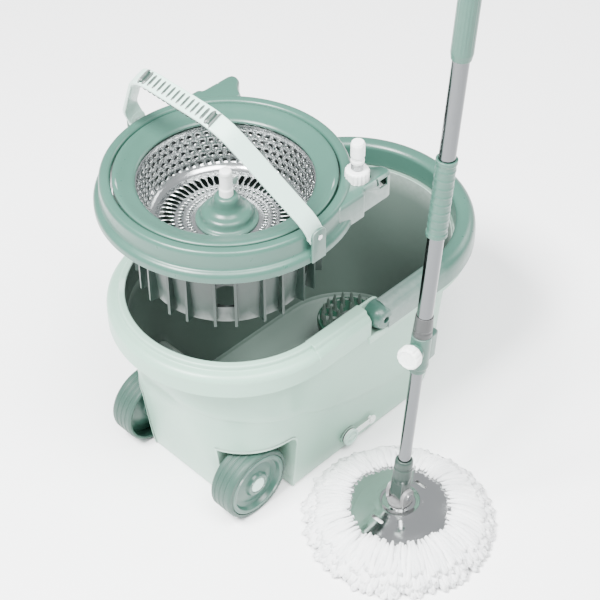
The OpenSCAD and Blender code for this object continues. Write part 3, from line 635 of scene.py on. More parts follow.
def tub_body(step):
    """The tub's wall and floor as one closed surface.  A sweeping step runs round its outside: above the line the
    outer face keeps its place, and below it the face is set in by the step, while the inner face runs even.  The
    line falls from the wheel end to the carry handle's end, in straight pieces between stations of X."""
    angle, foot, _, foot_r = outline_stations()
    x = foot[:, 0] + foot_r * np.cos(angle)
    line = np.interp(x, [-175, -133, -90, -37, 29, 96, 200], [160, 138, 113, 91, 71, 56, 44])
    one = np.ones_like(line)
    rise = np.linspace(0, 1, 7)[:, None]
    t = np.linspace(0, 1, 4)[1:-1, None]
    below = FOOT_Z + rise * (line - 2 - FOOT_Z)
    above = line + 1.5 + rise * (LEDGE_Z - line - 1.5)
    outer = np.concatenate([below, line - 2 + t * 3.5, above])
    blend = np.concatenate([np.ones(7), 1 - t[:, 0] ** 2 * (3 - 2 * t[:, 0]), np.zeros(7)])[:, None]
    depth = blend * step * one
    bowl = (FLOOR_Z + np.array([[0], [2], [6]])) * one
    bowl_depth = (WALL + step + np.array([[7], [2.4], [0.4]])) * one
    skirt = np.array([[FOOT_Z], [UNDER_Z]]) * one
    heights = np.concatenate([bowl, np.maximum(outer[1:], FLOOR_Z), outer[::-1], skirt])
    inner_depth = np.full_like(depth[1:], INNER_DEPTH)
    depths = np.concatenate([bowl_depth, inner_depth, depth[::-1], np.full_like(skirt, step + WALL)])
    return skin(wall_rings(heights, depths))


def tub_core(sink):
    """The full outer form of the tub, set in by a little, for trimming the walls of the wheel arches."""
    angle = outline_stations()[0]
    heights = np.linspace(FOOT_Z, LEDGE_Z, 6)[:, None] * np.ones_like(angle)
    return skin(wall_rings(heights, np.full_like(heights, sink)))


def arch_block(side, grow):
    """The space for a wheel: a box with one rounded upper corner, larger by grow on every side."""
    outline = box_outline(-230, ARCH_X + grow, -20, ARCH_Z + grow)
    return slab(outline, [0.5, 0.5, 16 + grow, 0.5], ARCH_Y - grow, 170, along_y((0, 0, 0), side), 0.01, 1)


def oval_end(section, start_x, centre_x, turn=56):
    """A closed section carried round one end of the tub: in along one straight side, half a turn about the end's
    centre, and out along the other side.  Its first coordinate is the distance from the middle line."""
    s = rounded(section[0], section[1])
    swing = np.linspace(90, 270, turn + 1) if centre_x < 0 else np.linspace(90, -90, turn + 1)
    a = np.radians(np.concatenate([swing[:1], swing, swing[-1:]]))[:, None]
    c = np.concatenate([[start_x], np.full(turn + 1, centre_x), [start_x]])[:, None]
    r = s[None, :, 0]
    z = np.broadcast_to(s[None, :, 1], (len(a), len(s)))
    return skin(np.stack([c + r * np.cos(a), r * np.sin(a), z], -1))


def side_run(outline, radii, x0, x1, side, soft=0.8):
    """An outline of distance and height drawn along X on one side of the tub."""
    return slab(outline, radii, x0, x1, Frame((0, 0, 0), (0, side, 0), (0, 0, 1), (1, 0, 0)), soft)


def build_tub():
    """Wall, floor and wheel arches; the stepped rim of the wheel end; the two raised blocks; the low ledge under
    the carry handle; the lugs of its pins; the bosses of the axle; and the drain's boss."""
    p = bpy.context.scene.mop_sizes
    drain_way = bore(7.6, 95, 112, DRAIN, 32)
    shells = [carved([tub_body(p.step)], [arch_block(1, 0), arch_block(-1, 0), drain_way])]
    for side in (1, -1):
        lining = carved([tub_core(0.5)], [arch_block(side, WALL)], "INTERSECT")
        shells.append(carved([lining], [arch_block(side, HAIR)]))
    rim = [[MOUTH_R, 206], [MOUTH_R, RIM_Z], [126.4, RIM_Z], [127.6, 240.4], [135, 239.6], [140, 234.5]]
    rim += [[140, LEDGE_Z], [137.6, LEDGE_Z], [137.6, 231], [132, 236.6], [121.1, 237], [121.1, 206]]
    shells.append(oval_end((rim, [0.4, 1.6, 2.2, 1.6, 3.5, 4.5, 0.9, 0.9, 3, 2, 1, 0.4]), BLOCK[0] + 4, LEFT_C))
    ledge = [[MOUTH_R, 200], [MOUTH_R, LEDGE_Z], [142, LEDGE_Z], [142, 203.5], [139.8, 203.5]]
    ledge += [[139.8, 209.6], [121.1, 209.6], [121.1, 200]]
    shells.append(oval_end((ledge, [0.4, 1.5, 2.2, 0.8, 0.8, 1.2, 1, 0.4]), BLOCK[1] - 4, RIGHT_C))
    top = RIM_Z + HAIR
    block = [[117.3, 206], [117.3, top], [132, top], [133.6, 240.7], [136.4, 239.7], [140.3, 235]]
    block += [[140.3, LEDGE_Z - 0.3], [121, LEDGE_Z - 0.3], [121, 206.4]]
    for side in (1, -1):
        pivot = along_y((PIVOT[0], 0, PIVOT[1]), side)
        axle = along_y((WHEEL_AXIS[0], 0, WHEEL_AXIS[2]), side)
        lug = slab(box_outline(-19, 14, 206.5, 243.5), [1, 1, 14, 1], 118.5, 121.9, along_y((0, 0, 0), side), 0.7)
        shells.append(side_run(block, [1, 2.2, 3, 1.6, 2.4, 4.5, 1.6, 1, 1], BLOCK[0], BLOCK[1], side, 0.9))
        shells.append(carved([lug], [bore(4.05, 110, 130, pivot, 24)]))
        shells.append(tube(5.05, 9, 46, 63.2, axle, 40, 0.5))
    shells.append(tube(7.6, 12.6, 99, 106.5, DRAIN, 48, 0.8))
    fasten("tub_shell", shells, "bucket", "tub_plastic", TUB_NODES)


def build_carry_handle():
    """A hollow rounded bar in a U, with two round pivot ends."""
    outer = [[122.3, 213.8], [122.3, 240], [127, 244], [137, 244], [144.4, 237.5], [146, 228], [146, 213.8]]
    inner = [[143.2, 213.8], [143.2, 228], [141, 236], [135, 240.8], [128, 240.8], [125.2, 238], [125.2, 213.8]]
    radii = [1, 4, 3, 6, 5, 4, 1.2, 0.8, 4, 5, 4, 3, 2, 0.8]
    shells = [oval_end((outer + inner, radii), PIVOT[0] + 4, RIGHT_C)]
    hub = [[4.06, 122.3], [14.6, 122.3], [14.6, 138], [11, 145.6], [4.06, 145.6]]
    for side in (1, -1):
        place = along_y((PIVOT[0], 0, PIVOT[1]), side)
        shells.append(turned(hub, place, 56, True, [0.5, 1, 4, 4, 0.5]))
    fasten("carry_handle", shells, "carry_loop", "green_plastic", ["tub_handle"])


def build_wheels():
    """Two wheels: a disc with a raised ring and a dished web, a tread with shallow grooves, and a small domed cap."""
    r = WHEEL_AXIS[2]
    disc = [[5.08, 69], [13, 69], [15, 77], [32, 83], [r - 5, 83], [r - 5, 99], [r - 6.5, 101.2], [r - 11, 101.2]]
    disc += [[r - 13.5, 95.6], [27, 95], [16, 96.8], [13.6, 101], [9.65, 101], [9.65, 92.2], [5.08, 92.2]]
    tread = [[r - 5, 70], [r - 2, 69.2], [r, 71.5]]
    for y in (77, 84, 91):
        tread += [[r, y - 1.4], [r - 0.9, y - 0.6], [r - 0.9, y + 0.6], [r, y + 1.4]]
    tread += [[r, 97.5], [r - 1.6, 100.4], [r - 5, 101]]
    cap = [[0, 97], [9.55, 97], [9.55, 100.6], [7.4, 102.2], [0, 102.4]]
    for side, word in ((1, "left"), (-1, "right")):
        place = along_y((WHEEL_AXIS[0], 0, r), side)
        for name, shell, slot, node in (
            ("wheel_disc_", turned(disc, place, 96, True, 1.0), "green_plastic", "wheel_"),
            ("wheel_tread_", turned(tread, place, 96, True, 0.7), "wheel_tread", "tyre_"),
            ("wheel_cap_", turned(cap, place, 48, False, [1, 0.2, 0.8, 1.6, 1]), "pale_plastic", "hub_cap_"),
        ):
            fasten(name + word, [shell], word + "_wheel", slot, [node + word])


def build_wash_disc():
    """A dished disc with a raised ring, drain holes, and three rings of blunt spikes."""
    top = 68.4
    rim = [[4.08, top - 1], [4.08, top], [33, top], [34.5, top + 1.6], [37, top + 1.6], [38, top], [38, 60]]
    rim += [[36.2, 58], [36.2, 41], [33, 41], [33, top - 5], [9, top - 5], [9, 41], [4.08, 41]]
    cutters = [bore(2.8, 60, 72, spot, 20) for spot in around(WASHER, 17, np.radians(np.arange(6) * 60 + 30))]
    shells = [carved([turned(rim, WASHER, 72, True, 0.8)], cutters)]
    spike = [[0, top - 2], [3.4, top - 1.5], [2.6, top + 2], [1.5, top + 13], [0.8, top + 15.4], [0, top + 15.6]]
    for radius, count in ((12, 6), (22, 12), (31, 18)):
        angles = np.arange(count) * 2 * math.pi / count + radius
        shells += [turned(spike, spot, 8, False, 0.4) for spot in around(WASHER, radius, angles)]
    fasten("wash_disc_top", shells, "washer", "deep_green_plastic", ["wash_disc"])


# ---------------------------------------------------------------- spinner

TOP = 411.0
LIP_Z = 377.0
HORN_TOP = 408.0
BASKET_FLOOR = 345.4
SCREW_CIRCLE = 125.2
# Thickness of the basket's sheet.
SHEET = 0.9
# The soap pump's spring: the radius of its turns and of its wire, and the points along it.
COIL_R = 6.2
WIRE_R = 0.55
COIL_POINTS = 64


def build_collar():
    """The spinner's collar: a rounded ring, a broad lip round it, two hollow horns with hooked tips, the outer
    ears of the bail's pins, and the bosses of four screws."""
    ring = [[119, 384], [119, TOP - 3.4], [121, TOP - 0.6], [125, TOP], [129, TOP - 0.6], [131.4, TOP - 4]]
    ring += [[131.8, LIP_Z + 12.5], [136, LIP_Z + 10.5], [138.4, LIP_Z + 7], [138.4, LIP_Z], [135.8, LIP_Z]]
    ring += [[135.6, LIP_Z + 6], [128.8, LIP_Z + 8], [128.8, TOP - 7], [126.8, TOP - 3.6]]
    ring += [[121.8, TOP - 3.8], [121.8, 384]]
    radii = [0.5, 2, 2, 2, 3, 3, 3.5, 2, 3, 0.8, 0.8, 2, 2, 2, 1, 1, 0.5]
    stem_way = bore(5.8, HORN_TOP - 12, HORN_TOP + 4, SOAP, 32)
    shells = [carved([turned(ring, SPINNER, 128, True, radii)], [stem_way])]
    horn = [[-58, -126], [-19, -126], [-16, -121.4], [21, -121.4], [26.5, -119.5], [28, -113.5]]
    horn += [[26, -107], [15, -98], [7, -83], [-14, -92], [-46, -112]]
    corners = [3, 5, 5, 7, 6, 7, 8, 12, 6, 4, 4]
    levels = [(2.4, HORN_TOP - 2.6), (2.4, LIP_Z), (0, LIP_Z), (0, HORN_TOP - 4), (0, HORN_TOP - 3.4)]
    levels += [(0.35, HORN_TOP - 1.9), (1.0, HORN_TOP - 0.8), (1.9, HORN_TOP - 0.15)]
    levels += [(2.7, HORN_TOP), (3.2, HORN_TOP)]
    arm = stacked(horn, corners, levels)
    well = turned([[0, HORN_TOP - 12], [8, HORN_TOP - 12], [8, HORN_TOP - 1.2], [14.5, HORN_TOP - 1.2],
                   [14.5, HORN_TOP + 4], [0, HORN_TOP + 4]], SOAP, 48, soft=0.01)
    hook = slab(box_outline(8, 20, -130, -118.4), 1, HORN_TOP - 14, HORN_TOP - 3, soft=0.2)
    slot = slab(box_outline(3.6, 6.6, -130, -118.4), 1, HORN_TOP - 8, HORN_TOP + 4, soft=0.2)
    shells.append(carved([arm], [well, hook, slot]))
    shells.append(carved([mirrored(arm)], [mirrored(hook), mirrored(slot)]))
    ear = box_outline(-9.5, 9.5, LIP_Z + 0.2, BAIL_PIN[2] + 9.5)
    for side in (1, -1):
        shells.append(slab(ear, [1, 1, 9, 9], 137.5, 140.5, along_y((BAIL_PIN[0], 0, 0), side), 0.8))
        shells.append(slab(box_outline(-9.1, 9.1, 134, 139.9), 1, LIP_Z + 0.5, LIP_Z + 9,
                           Frame((BAIL_PIN[0], 0, 0), (1, 0, 0), (0, side, 0)), 0.5))
    for spot in around(SPINNER, SCREW_CIRCLE, np.radians([0, 90, 180, 270])):
        shells.append(tube(2.02, 4.4, 384, 398, spot, 24, 0.3))
    fasten("spinner_collar", shells, "spinner", "green_plastic", ["collar"])


def build_basket():
    """The steel basket: a profile turned round the axis and cut into cells.  A cell with a hole is eight faces
    between its own eight border points and the eight points of the hole; every second row is shifted by half a
    cell, so that corners meet the middles of the next row's edges."""
    p = bpy.context.scene.mop_sizes
    floor = BASKET_FLOOR
    line = np.array([[27, floor], [40, floor], [77.6, floor], [82, floor + 0.9], [85, floor + 3.4], [86.6, floor + 8],
                     [92.6, TOP - 16], [93.3, TOP - 13.4], [97, TOP - 12.4]])
    length = np.concatenate([[0], np.cumsum(np.linalg.norm(np.diff(line, axis=0), axis=1))])
    # Each row of cells: where it begins and ends along the profile, and its hole's width and height, or 0.
    rows = [(0, 10, 0, 0), (10, 19, 0.24, 0.20), (19, 28, 0.24, 0.22), (28, 46.5, 0.42, 0.62)]
    rows += [(46.5, 52, 0, 0), (52, 61, 0, 0)]
    end = length[-1]
    steps = np.linspace(61, end - 7.5, p.hole_rows + 1)
    rows += [(a, b, 0.30, 0.26) for a, b in zip(steps[:-1], steps[1:])]
    rows += [(end - 7.5, end - 4, 0, 0), (end - 4, end, 0, 0)]
    border = np.array([[-1, -1], [0, -1], [1, -1], [1, 0], [1, 1], [0, 1], [-1, 1], [-1, 0]], float)
    turn = np.arctan2(border[:, 1], border[:, 0])
    hole = np.stack([np.cos(turn), np.sin(turn)], 1)
    columns = p.hole_columns
    points = []
    faces = []
    base = 0
    for n, (a, b, wide, tall) in enumerate(rows):
        centre = (np.arange(columns) + 0.5 * (n % 2)) * 2 * math.pi / columns
        half = math.pi / columns
        loops = [border]
        if wide:
            loops.append(hole * [wide * 2, tall * 1.6])
        local = np.concatenate(loops)
        u = centre[:, None] + half * local[None, :, 0]
        s = np.broadcast_to((a + b) / 2 + (b - a) / 2 * local[None, :, 1], u.shape)
        r = np.interp(s, length, line[:, 0])
        z = np.interp(s, length, line[:, 1])
        points.append(SPINNER.out(np.stack([r * np.cos(u), r * np.sin(u), z], -1)).reshape(-1, 3))
        k = np.arange(8)
        if wide:
            cell = np.stack([k, (k + 1) % 8, 8 + (k + 1) % 8, 8 + k], 1)
            faces += (cell[None] + base + 16 * np.arange(columns)[:, None, None]).reshape(-1, 4).tolist()
        else:
            faces += (k[None] + base + 8 * np.arange(columns)[:, None]).tolist()
        base += len(points[-1])
    mesh = welded("basket_bowl", points, faces, 1e-5)
    bowl = fasten("basket_bowl", mesh, "spin_basket", "basket_steel", ["basket"], 50)
    sheet = bowl.modifiers.new("sheet", "SOLIDIFY")
    sheet.thickness = SHEET / MM
    sheet.offset = 0.0
    ring = [[93.6, TOP - 11.6], [93.6, TOP - 9.4], [96, TOP - 7.4], [104, TOP - 4.8], [111, TOP - 1.8]]
    ring += [[114.6, TOP - 0.8], [117.3, TOP - 2], [117.3, TOP - 18], [114.9, TOP - 18], [114.9, TOP - 5.4]]
    ring += [[104, TOP - 8.4], [98, TOP - 11.6]]
    fasten("basket_ring", [turned(ring, SPINNER, 128, True, [1, 1, 2, 3, 2, 2, 2, 0.8, 0.8, 2, 2, 1])],
           "spin_basket", "green_plastic", ["basket_rim"])
    f = floor + 0.7
    dome = [[0, f], [34, f], [33.4, f + 2], [30, f + 3.6], [28.4, f + 6], [27.6, f + 10.5], [25.4, f + 12.6]]
    dome += [[20.5, f + 14.2], [17, f + 17], [15, f + 21], [13.6, f + 29], [11, f + 32.2], [0, f + 32.4]]
    fasten("basket_centre", [turned(dome, SPINNER, 72, False, 1.6)], "spin_basket", "green_plastic", ["basket_dome"])
    post = [[0, f + 31], [7.6, f + 31], [7.4, f + 40], [6.6, f + 42], [6.6, f + 58], [7, f + 60]]
    post += [[6.4, f + 63.4], [0, f + 65.4]]
    fasten("basket_post", [turned(post, SPINNER, 40, False, 1.2)], "spin_basket", "white_plastic", ["basket_spindle"])


def build_bail():
    """The lifting handle: one flat strap carried up from a pin, over the top and down to the other, round bosses at
    its pins, and a ribbed grip under the top."""
    turn = [[-134.6, -6], [-134.6, 22], [-60, 134.8], [60, 134.8], [134.6, 22], [134.6, -6]]
    path = rounded(turn, [1, 16, 26, 26, 16, 1], closed=False, steps=10)
    step = np.gradient(path, axis=0)
    step = step / np.linalg.norm(step, axis=1)[:, None]
    centre = BAIL.out(np.column_stack([np.zeros(len(path)), path]))
    normal = BAIL.out(np.column_stack([np.zeros(len(path)), -step[:, 1], step[:, 0]])) - BAIL.origin
    across = BAIL.out([1, 0, 0]) - BAIL.origin
    section = rounded(box_outline(-10, 10, -2.2, 2.2), 1.6)
    shells = [carried(section, centre, across, normal)]
    for side in (1, -1):
        shells.append(tube(3.06, 10.4, 132.2, 137.1, along_y(BAIL_PIN, side), 40, 0.8))
    fasten("bail_strap", shells, "bail", "pale_plastic", ["bail_arms"])
    ribs = 15
    reach = 51.5
    y = np.linspace(-reach, reach, ribs * 8 + 1)
    rib = 0.5 + 0.5 * np.cos(y / (2 * reach) * 2 * math.pi * ribs)
    grow = 1.0 - 0.16 * np.clip(1.6 * rib - 0.3, 0, 1)
    o = rounded(box_outline(-9.6, 9.6, -6.2, 6.2), 5)
    local = np.stack([o[None, :, 0] * grow[:, None], np.broadcast_to(y[:, None], (len(y), len(o))),
                      131.2 + o[None, :, 1] * grow[:, None]], -1)
    fasten("bail_grip_ribs", [skin(BAIL.out(local))], "bail", "dark_green_plastic", ["bail_grip"])


def build_soap_pump():
    """A ribbed ring nut; a press head, which is a white column on a narrower neck; and between them the spring, a
    wire carried along a coil of three and a half turns."""
    z = HORN_TOP - 1.2
    nut = [[5.1, z], [12.6, z], [12.6, z + 11.4], [11, z + 13], [5.1, z + 13]]

    def ribs(a, h):
        """Eighteen ribs that fade at the nut's edge."""
        return 1 + 0.035 * np.cos(18 * a) * (h < z + 12.2) * (h > z + 0.4)

    ring = turned(nut, SOAP, 144, True, [0.4, 0.6, 1.2, 1.2, 0.4], ribs)
    fasten("soap_ring_nut", [ring], "spinner", "white_plastic", ["soap_nut"])
    z = HORN_TOP
    head = [[0, z + 1], [4.9, z + 1], [4.9, z + 20], [7.2, z + 20.6], [7.4, z + 24], [6.8, z + 25], [6.8, z + 28]]
    head += [[7.6, z + 29], [7.6, z + 43.6], [6.2, z + 46.8], [0, z + 47]]
    fasten("soap_press_head", [turned(head, SOAP, 48, False, 0.8)], "soap_pump", "white_plastic", ["soap_head"])
    foot = HORN_TOP + 11.9
    a = np.linspace(0, 7 * math.pi, COIL_POINTS)
    out = np.stack([np.cos(a), np.sin(a), np.zeros_like(a)], -1)
    path = SOAP.out(out * COIL_R + np.linspace(foot + 0.6, foot + 7.4, COIL_POINTS)[:, None] * [0, 0, 1])
    b = np.linspace(0, 2 * math.pi, 8, endpoint=False)
    wire = WIRE_R * np.column_stack([np.cos(b), np.sin(b)])
    wound = carried(wire, path, out, np.array([0.0, 0.0, 1.0]))
    coil = fasten("soap_coil", [wound], "soap_pump", "bright_steel", ["soap_spring"])
    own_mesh(coil)


# ---------------------------------------------------------------- mop


def build_fringe():
    """A ring of looped strands.  A strand runs out from under the plate and back beside itself: its distance from the
    middle follows a sine of the way along it, its angle swings across by its own half width, and its height drops
    with distance on a curve that each layer lifts.  A small closed section is carried along it."""
    p = bpy.context.scene.mop_sizes
    rng = np.random.default_rng(11)
    layers = [(0.0, 110.0, 0.0), (0.33, 108.0, 4.5), (0.66, 104.0, 9.0), (0.5, 98.0, 12.5)]
    k = 13
    m = 5
    t = np.linspace(0.03, 0.97, k)
    ring = np.linspace(0, 2 * math.pi, m, endpoint=False)
    shells = []
    tones = []
    n = p.strands
    up = np.array([0.0, 0.0, 1.0])
    for shift, reach, lift in layers:
        angle = (np.arange(n) + shift + rng.uniform(-0.3, 0.3, n)) * 2 * math.pi / n
        far = reach + rng.uniform(-7, 2.5, n)
        wide = rng.uniform(2.6, 4.6, n)
        start = rng.uniform(46, 56, n)
        curl = rng.uniform(-1, 1, n)
        out = np.sin(math.pi * t)[None] ** 0.8
        rho = start[:, None] + (far - start)[:, None] * out
        share = (rho - 46) / 64
        wave = 3.2 * curl[:, None] * np.sin(3.4 * share + 3 * curl[:, None])
        phi = angle[:, None] + (-wide[:, None] * np.cos(math.pi * t)[None] + wave) / rho
        drop = np.clip((rho - 50) / 60, 0, 1)
        height = 3.2 + (16 + 0.62 * lift) * (1 - drop**2.1) + lift * 0.45 * (1 - drop**6)
        height = height + 0.9 * np.sin(9 * share + 6 * curl[:, None]) * (0.3 + drop)
        centre = np.stack([rho * np.cos(phi), rho * np.sin(phi), np.maximum(height, 2.9)], -1)
        ahead = np.gradient(centre, axis=1)
        ahead = ahead / np.linalg.norm(ahead, axis=2)[..., None]
        side = np.cross(ahead, up)
        side = side / np.maximum(np.linalg.norm(side, axis=2), 1e-6)[..., None]
        over = np.cross(side, ahead)
        fat = p.strand_radius * (1 + 0.14 * np.sin(16 * t[None] + 5 * curl[:, None]))
        fat = fat * np.clip(np.minimum(t, 1 - t) * 14, 0.2, 1)[None]
        rim = np.cos(ring)[:, None] * side[:, :, None] + np.sin(ring)[:, None] * over[:, :, None]
        grid = centre[:, :, None] + fat[..., None, None] * rim
        grid[..., 2] = np.maximum(grid[..., 2], 0.1)
        shells += [skin(MOP.out(g)) for g in grid]
        tones.append(np.repeat(rng.uniform(0.25, 1, n), k * m))
    under = [[14, 3], [60, 2], [78, 3.5], [78, 9], [66, 21.5], [14, 23.4]]
    shells.append(turned(under, MOP, 64, True, 2.0))
    mesh = mesh_of("fringe_loops", shells)
    fasten("fringe_loops", mesh, "mop_head", "microfibre", ["fringe"], 180)
    values = np.concatenate(tones)
    attribute = mesh.attributes.new("tone", "FLOAT", "POINT")
    # The cloth under the strands takes a low tone, nearer the grey painted shade.
    full = np.full(len(mesh.vertices), 0.35, np.float32)
    full[: len(values)] = values[: len(full)]
    attribute.data.foreach_set("value", full)


def build_head_disc():
    """The bright pressed disc on the mop head: a shallow dome with a pressed ring near its middle, a rolled edge,
    and two slots."""
    base = 29.0
    r = np.linspace(7, 57.4, 26)
    h = base + 10 * (1 - (r / 59) ** 2) + 0.9 * np.exp(-(((r - 24) / 2.4) ** 2))
    h = h - 0.8 * np.exp(-(((r - 18) / 2.2) ** 2))
    top = np.column_stack([r, h + 0.95])
    low = np.column_stack([r, h])[::-1]
    edge = np.array([[58.6, base + 1.5], [59.3, base + 0.7], [58.9, base - 0.2], [57.8, base - 0.1]])
    outline = np.concatenate([top, edge, low])
    a = np.linspace(0, 2 * math.pi, 96, endpoint=False)[:, None]
    z = np.broadcast_to(outline[None, :, 1], (96, len(outline)))
    grid = np.stack([outline[None, :, 0] * np.cos(a), outline[None, :, 0] * np.sin(a), z], -1)
    slots = [slab(box_outline(s * 36 - 2.2, s * 36 + 2.2, -8, 8), 3, 25, 50, MOP, 0.02) for s in (1, -1)]
    disc = carved([skin(MOP.out(grid), wrap_u=True)], slots)
    fasten("head_disc", [disc], "mop_head", "bright_steel", ["mop_disc"], 40, "disc_steel")


# Height of the pole's top above its tilt pin.
POLE_TOP = 796


def build_pole():
    """The two tubes and their turned plastic parts, all along the leaning axis."""
    top = POLE_TOP / math.cos(math.radians(POLE_LEAN))
    fasten("lower_pole", [tube(6, 7, 22, 470, POLE, 56, 0.25)], "pole_low", "chrome", ["lower_tube"])
    fasten("upper_pole", [tube(7.5, 8.5, 232, top - 26, POLE, 56, 0.25)], "pole_up", "chrome", ["upper_tube"])
    cup = [[7.02, 23], [7.02, 51.9], [8.8, 51.9], [10, 49.6], [10.4, 47], [10.4, 42], [9.8, 41], [9.8, 39.4]]
    cup += [[10.6, 38.4], [10.6, 26], [9.2, 17], [7.6, 16], [7.6, 22.4]]
    shells = [turned(cup, POLE, 48, True, 0.8)]
    edge_on = Frame(POLE.origin, POLE.axes[0], POLE.axes[2], (0, 1, 0))
    plate = slab(box_outline(-8, 8, -8, 24), [8, 8, 2, 2], -8.4, 8.4, edge_on, 1.0)
    shells.append(carved([plate], [bore(3.06, -12, 12, edge_on, 24)]))
    fasten("socket_cup", shells, "pole_low", "dark_green_plastic", ["pole_socket"])
    sleeve = [[8.6, 362], [11, 362], [11, 366.4], [10.2, 367.4]]
    for z in np.linspace(374, 441, 8):
        sleeve += [[10.2, z - 1.6], [10.55, z - 0.8], [10.55, z + 0.8], [10.2, z + 1.6]]
    sleeve += [[10.2, 447.6], [11, 448.6], [11, 453], [8.6, 453]]
    fasten("turning_sleeve", [turned(sleeve, POLE, 64, True, 0.5)], "sleeve", "green_plastic", ["spin_sleeve"])

    def flutes(a, h):
        """Twenty shallow flutes along the length, fading at the ends."""
        fade = np.clip((h - 572) / 6, 0, 1) * np.clip((top - 32 - h) / 6, 0, 1)
        return 1 - 0.022 * (0.5 + 0.5 * np.cos(20 * a)) * fade

    grip = [[8.52, 563], [9.8, 563], [11, 570], [11, 578], [11, top - 40], [11, top - 26.2], [8.52, top - 26.2]]
    fasten("pole_grip", [turned(grip, POLE, 160, True, 0.8, flutes)], "pole_up", "green_plastic", ["hand_grip"])
    hanging = bore(5.5, -20, 20, Frame(POLE.out([0, 0, top - 11]), *edge_on.axes), 32)
    shells = [carved([slab(box_outline(-11, 11, top - 22, top), [1, 1, 11, 11], -7, 7, edge_on, 1.4)], [hanging])]
    stopper = [[0, top - 37], [7.4, top - 37], [7.4, top - 26.2], [11, top - 26.2], [11, top - 21]]
    stopper += [[9, top - 17.4], [0, top - 17.4]]
    shells.append(turned(stopper, POLE, 48, False, 0.6))
    fasten("pole_cap", shells, "pole_up", "dark_green_plastic", ["end_cap"])


def build_lock():
    """The telescope's lock: a green housing with a side boss, a dark ferrule above it, and a scalloped white knob."""
    a = math.radians(190)
    out = POLE.axes[0] * math.cos(a) + POLE.axes[1] * math.sin(a)
    across = np.cross(POLE.axes[2], out)
    turned_frame = Frame(POLE.origin, out, across, POLE.axes[2])
    knob_place = Frame(POLE.out([0, 0, 215]), across, POLE.axes[2], out)
    case = [[7.08, 183], [9, 183], [9.4, 184], [9.4, 189.4], [11.2, 190.6], [11.2, 196], [11, 197], [11, 232]]
    case += [[7.08, 232]]
    shells = [turned(case, POLE, 64, True, 0.8)]
    block = slab(box_outline(-19, -2, -10, 10), 5, 198, 231, turned_frame, 1.4)
    shells.append(carved([block], [bore(7.1, 190, 240, POLE, 40)]))
    shells.append(tube(4.05, 10, 9, 14, knob_place, 40, 0.8))
    fasten("lock_case", shells, "pole_up", "green_plastic", ["lock_housing"])
    ferrule = [[8.52, 232.1], [10.4, 232.1], [10.4, 238], [9.9, 239.4], [9.9, 241], [10.2, 242], [9.4, 258]]
    ferrule += [[8.52, 258]]
    fasten("lock_collar", [turned(ferrule, POLE, 48, True, 0.6)], "pole_up", "black_plastic", ["lock_ferrule"])

    def scallops(angle, h):
        """Twelve scallops round the knob's edge."""
        return 1 - 0.06 * np.clip(1.4 * np.cos(12 * angle) - 0.4, 0, 1) * (h > 14.8)

    knob = [[0, 9.5], [3.94, 9.5], [3.94, 14.4], [11, 14.4], [12.8, 17], [13, 19], [13, 24.2], [12.2, 26.4]]
    knob += [[10, 27.2], [8.6, 26.2], [0, 26]]
    dial = turned(knob, knob_place, 96, False, 0.8, scallops)
    fasten("lock_dial", [dial], "lock", "white_plastic", ["lock_knob"])


KEPT = {
    "axle_stubs": "bright_steel",
    "tub_feet": "black_rubber",
    "drain_seal": "black_rubber",
    "plug_strap": "white_plastic",
    "drain_plug": "pale_plastic",
    "handle_pins": "bright_steel",
    "wash_plinth": "dark_green_plastic",
    "wash_pin": "bright_steel",
    "wash_cap": "dark_green_plastic",
    "cage": "dark_green_plastic",
    "cage_screws": "bright_steel",
    "bearing": "bright_steel",
    "thrust_pad": "black_plastic",
    "soap_tank": "white_plastic",
    "bail_pins": "bright_steel",
    "basket_hub": "dark_green_plastic",
    "basket_shaft": "bright_steel",
    "yoke": "black_plastic",
    "yoke_pin": "bright_steel",
    "mop_plate": "white_plastic",
    "drive_nut": "black_plastic",
    "drive_screw": "bright_steel",
}


def finish_kept():
    """Gives every mechanical node that stays in view its finish."""
    for node, slot in KEPT.items():
        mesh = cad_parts[node].data
        mesh.materials.clear()
        mesh.materials.append(finish(slot))


# ---------------------------------------------------------------- stage


# Half the floor's width in metres, and the points along one side of it.
FLOOR_HALF = 6
FLOOR_POINTS = 13
# Where the camera stands, in metres, and the direction it looks in.
CAMERA_PLACE = (-1.0134, -0.9231, 1.5033)
CAMERA_AIM = (0.51707, 0.51555, -0.68326)


def lamp(name, place, aim, power, width, height):
    """A soft rectangular light at a place, pointed at a target."""
    light = bpy.data.lights.new(name, "AREA")
    light.shape = "RECTANGLE"
    light.size = width
    light.size_y = height
    light.energy = power
    o = bpy.data.objects.new(name, light)
    o.location = place
    o.rotation_euler = (Vector(aim) - Vector(place)).to_track_quat("-Z", "Y").to_euler()
    bpy.context.scene.collection.objects.link(o)


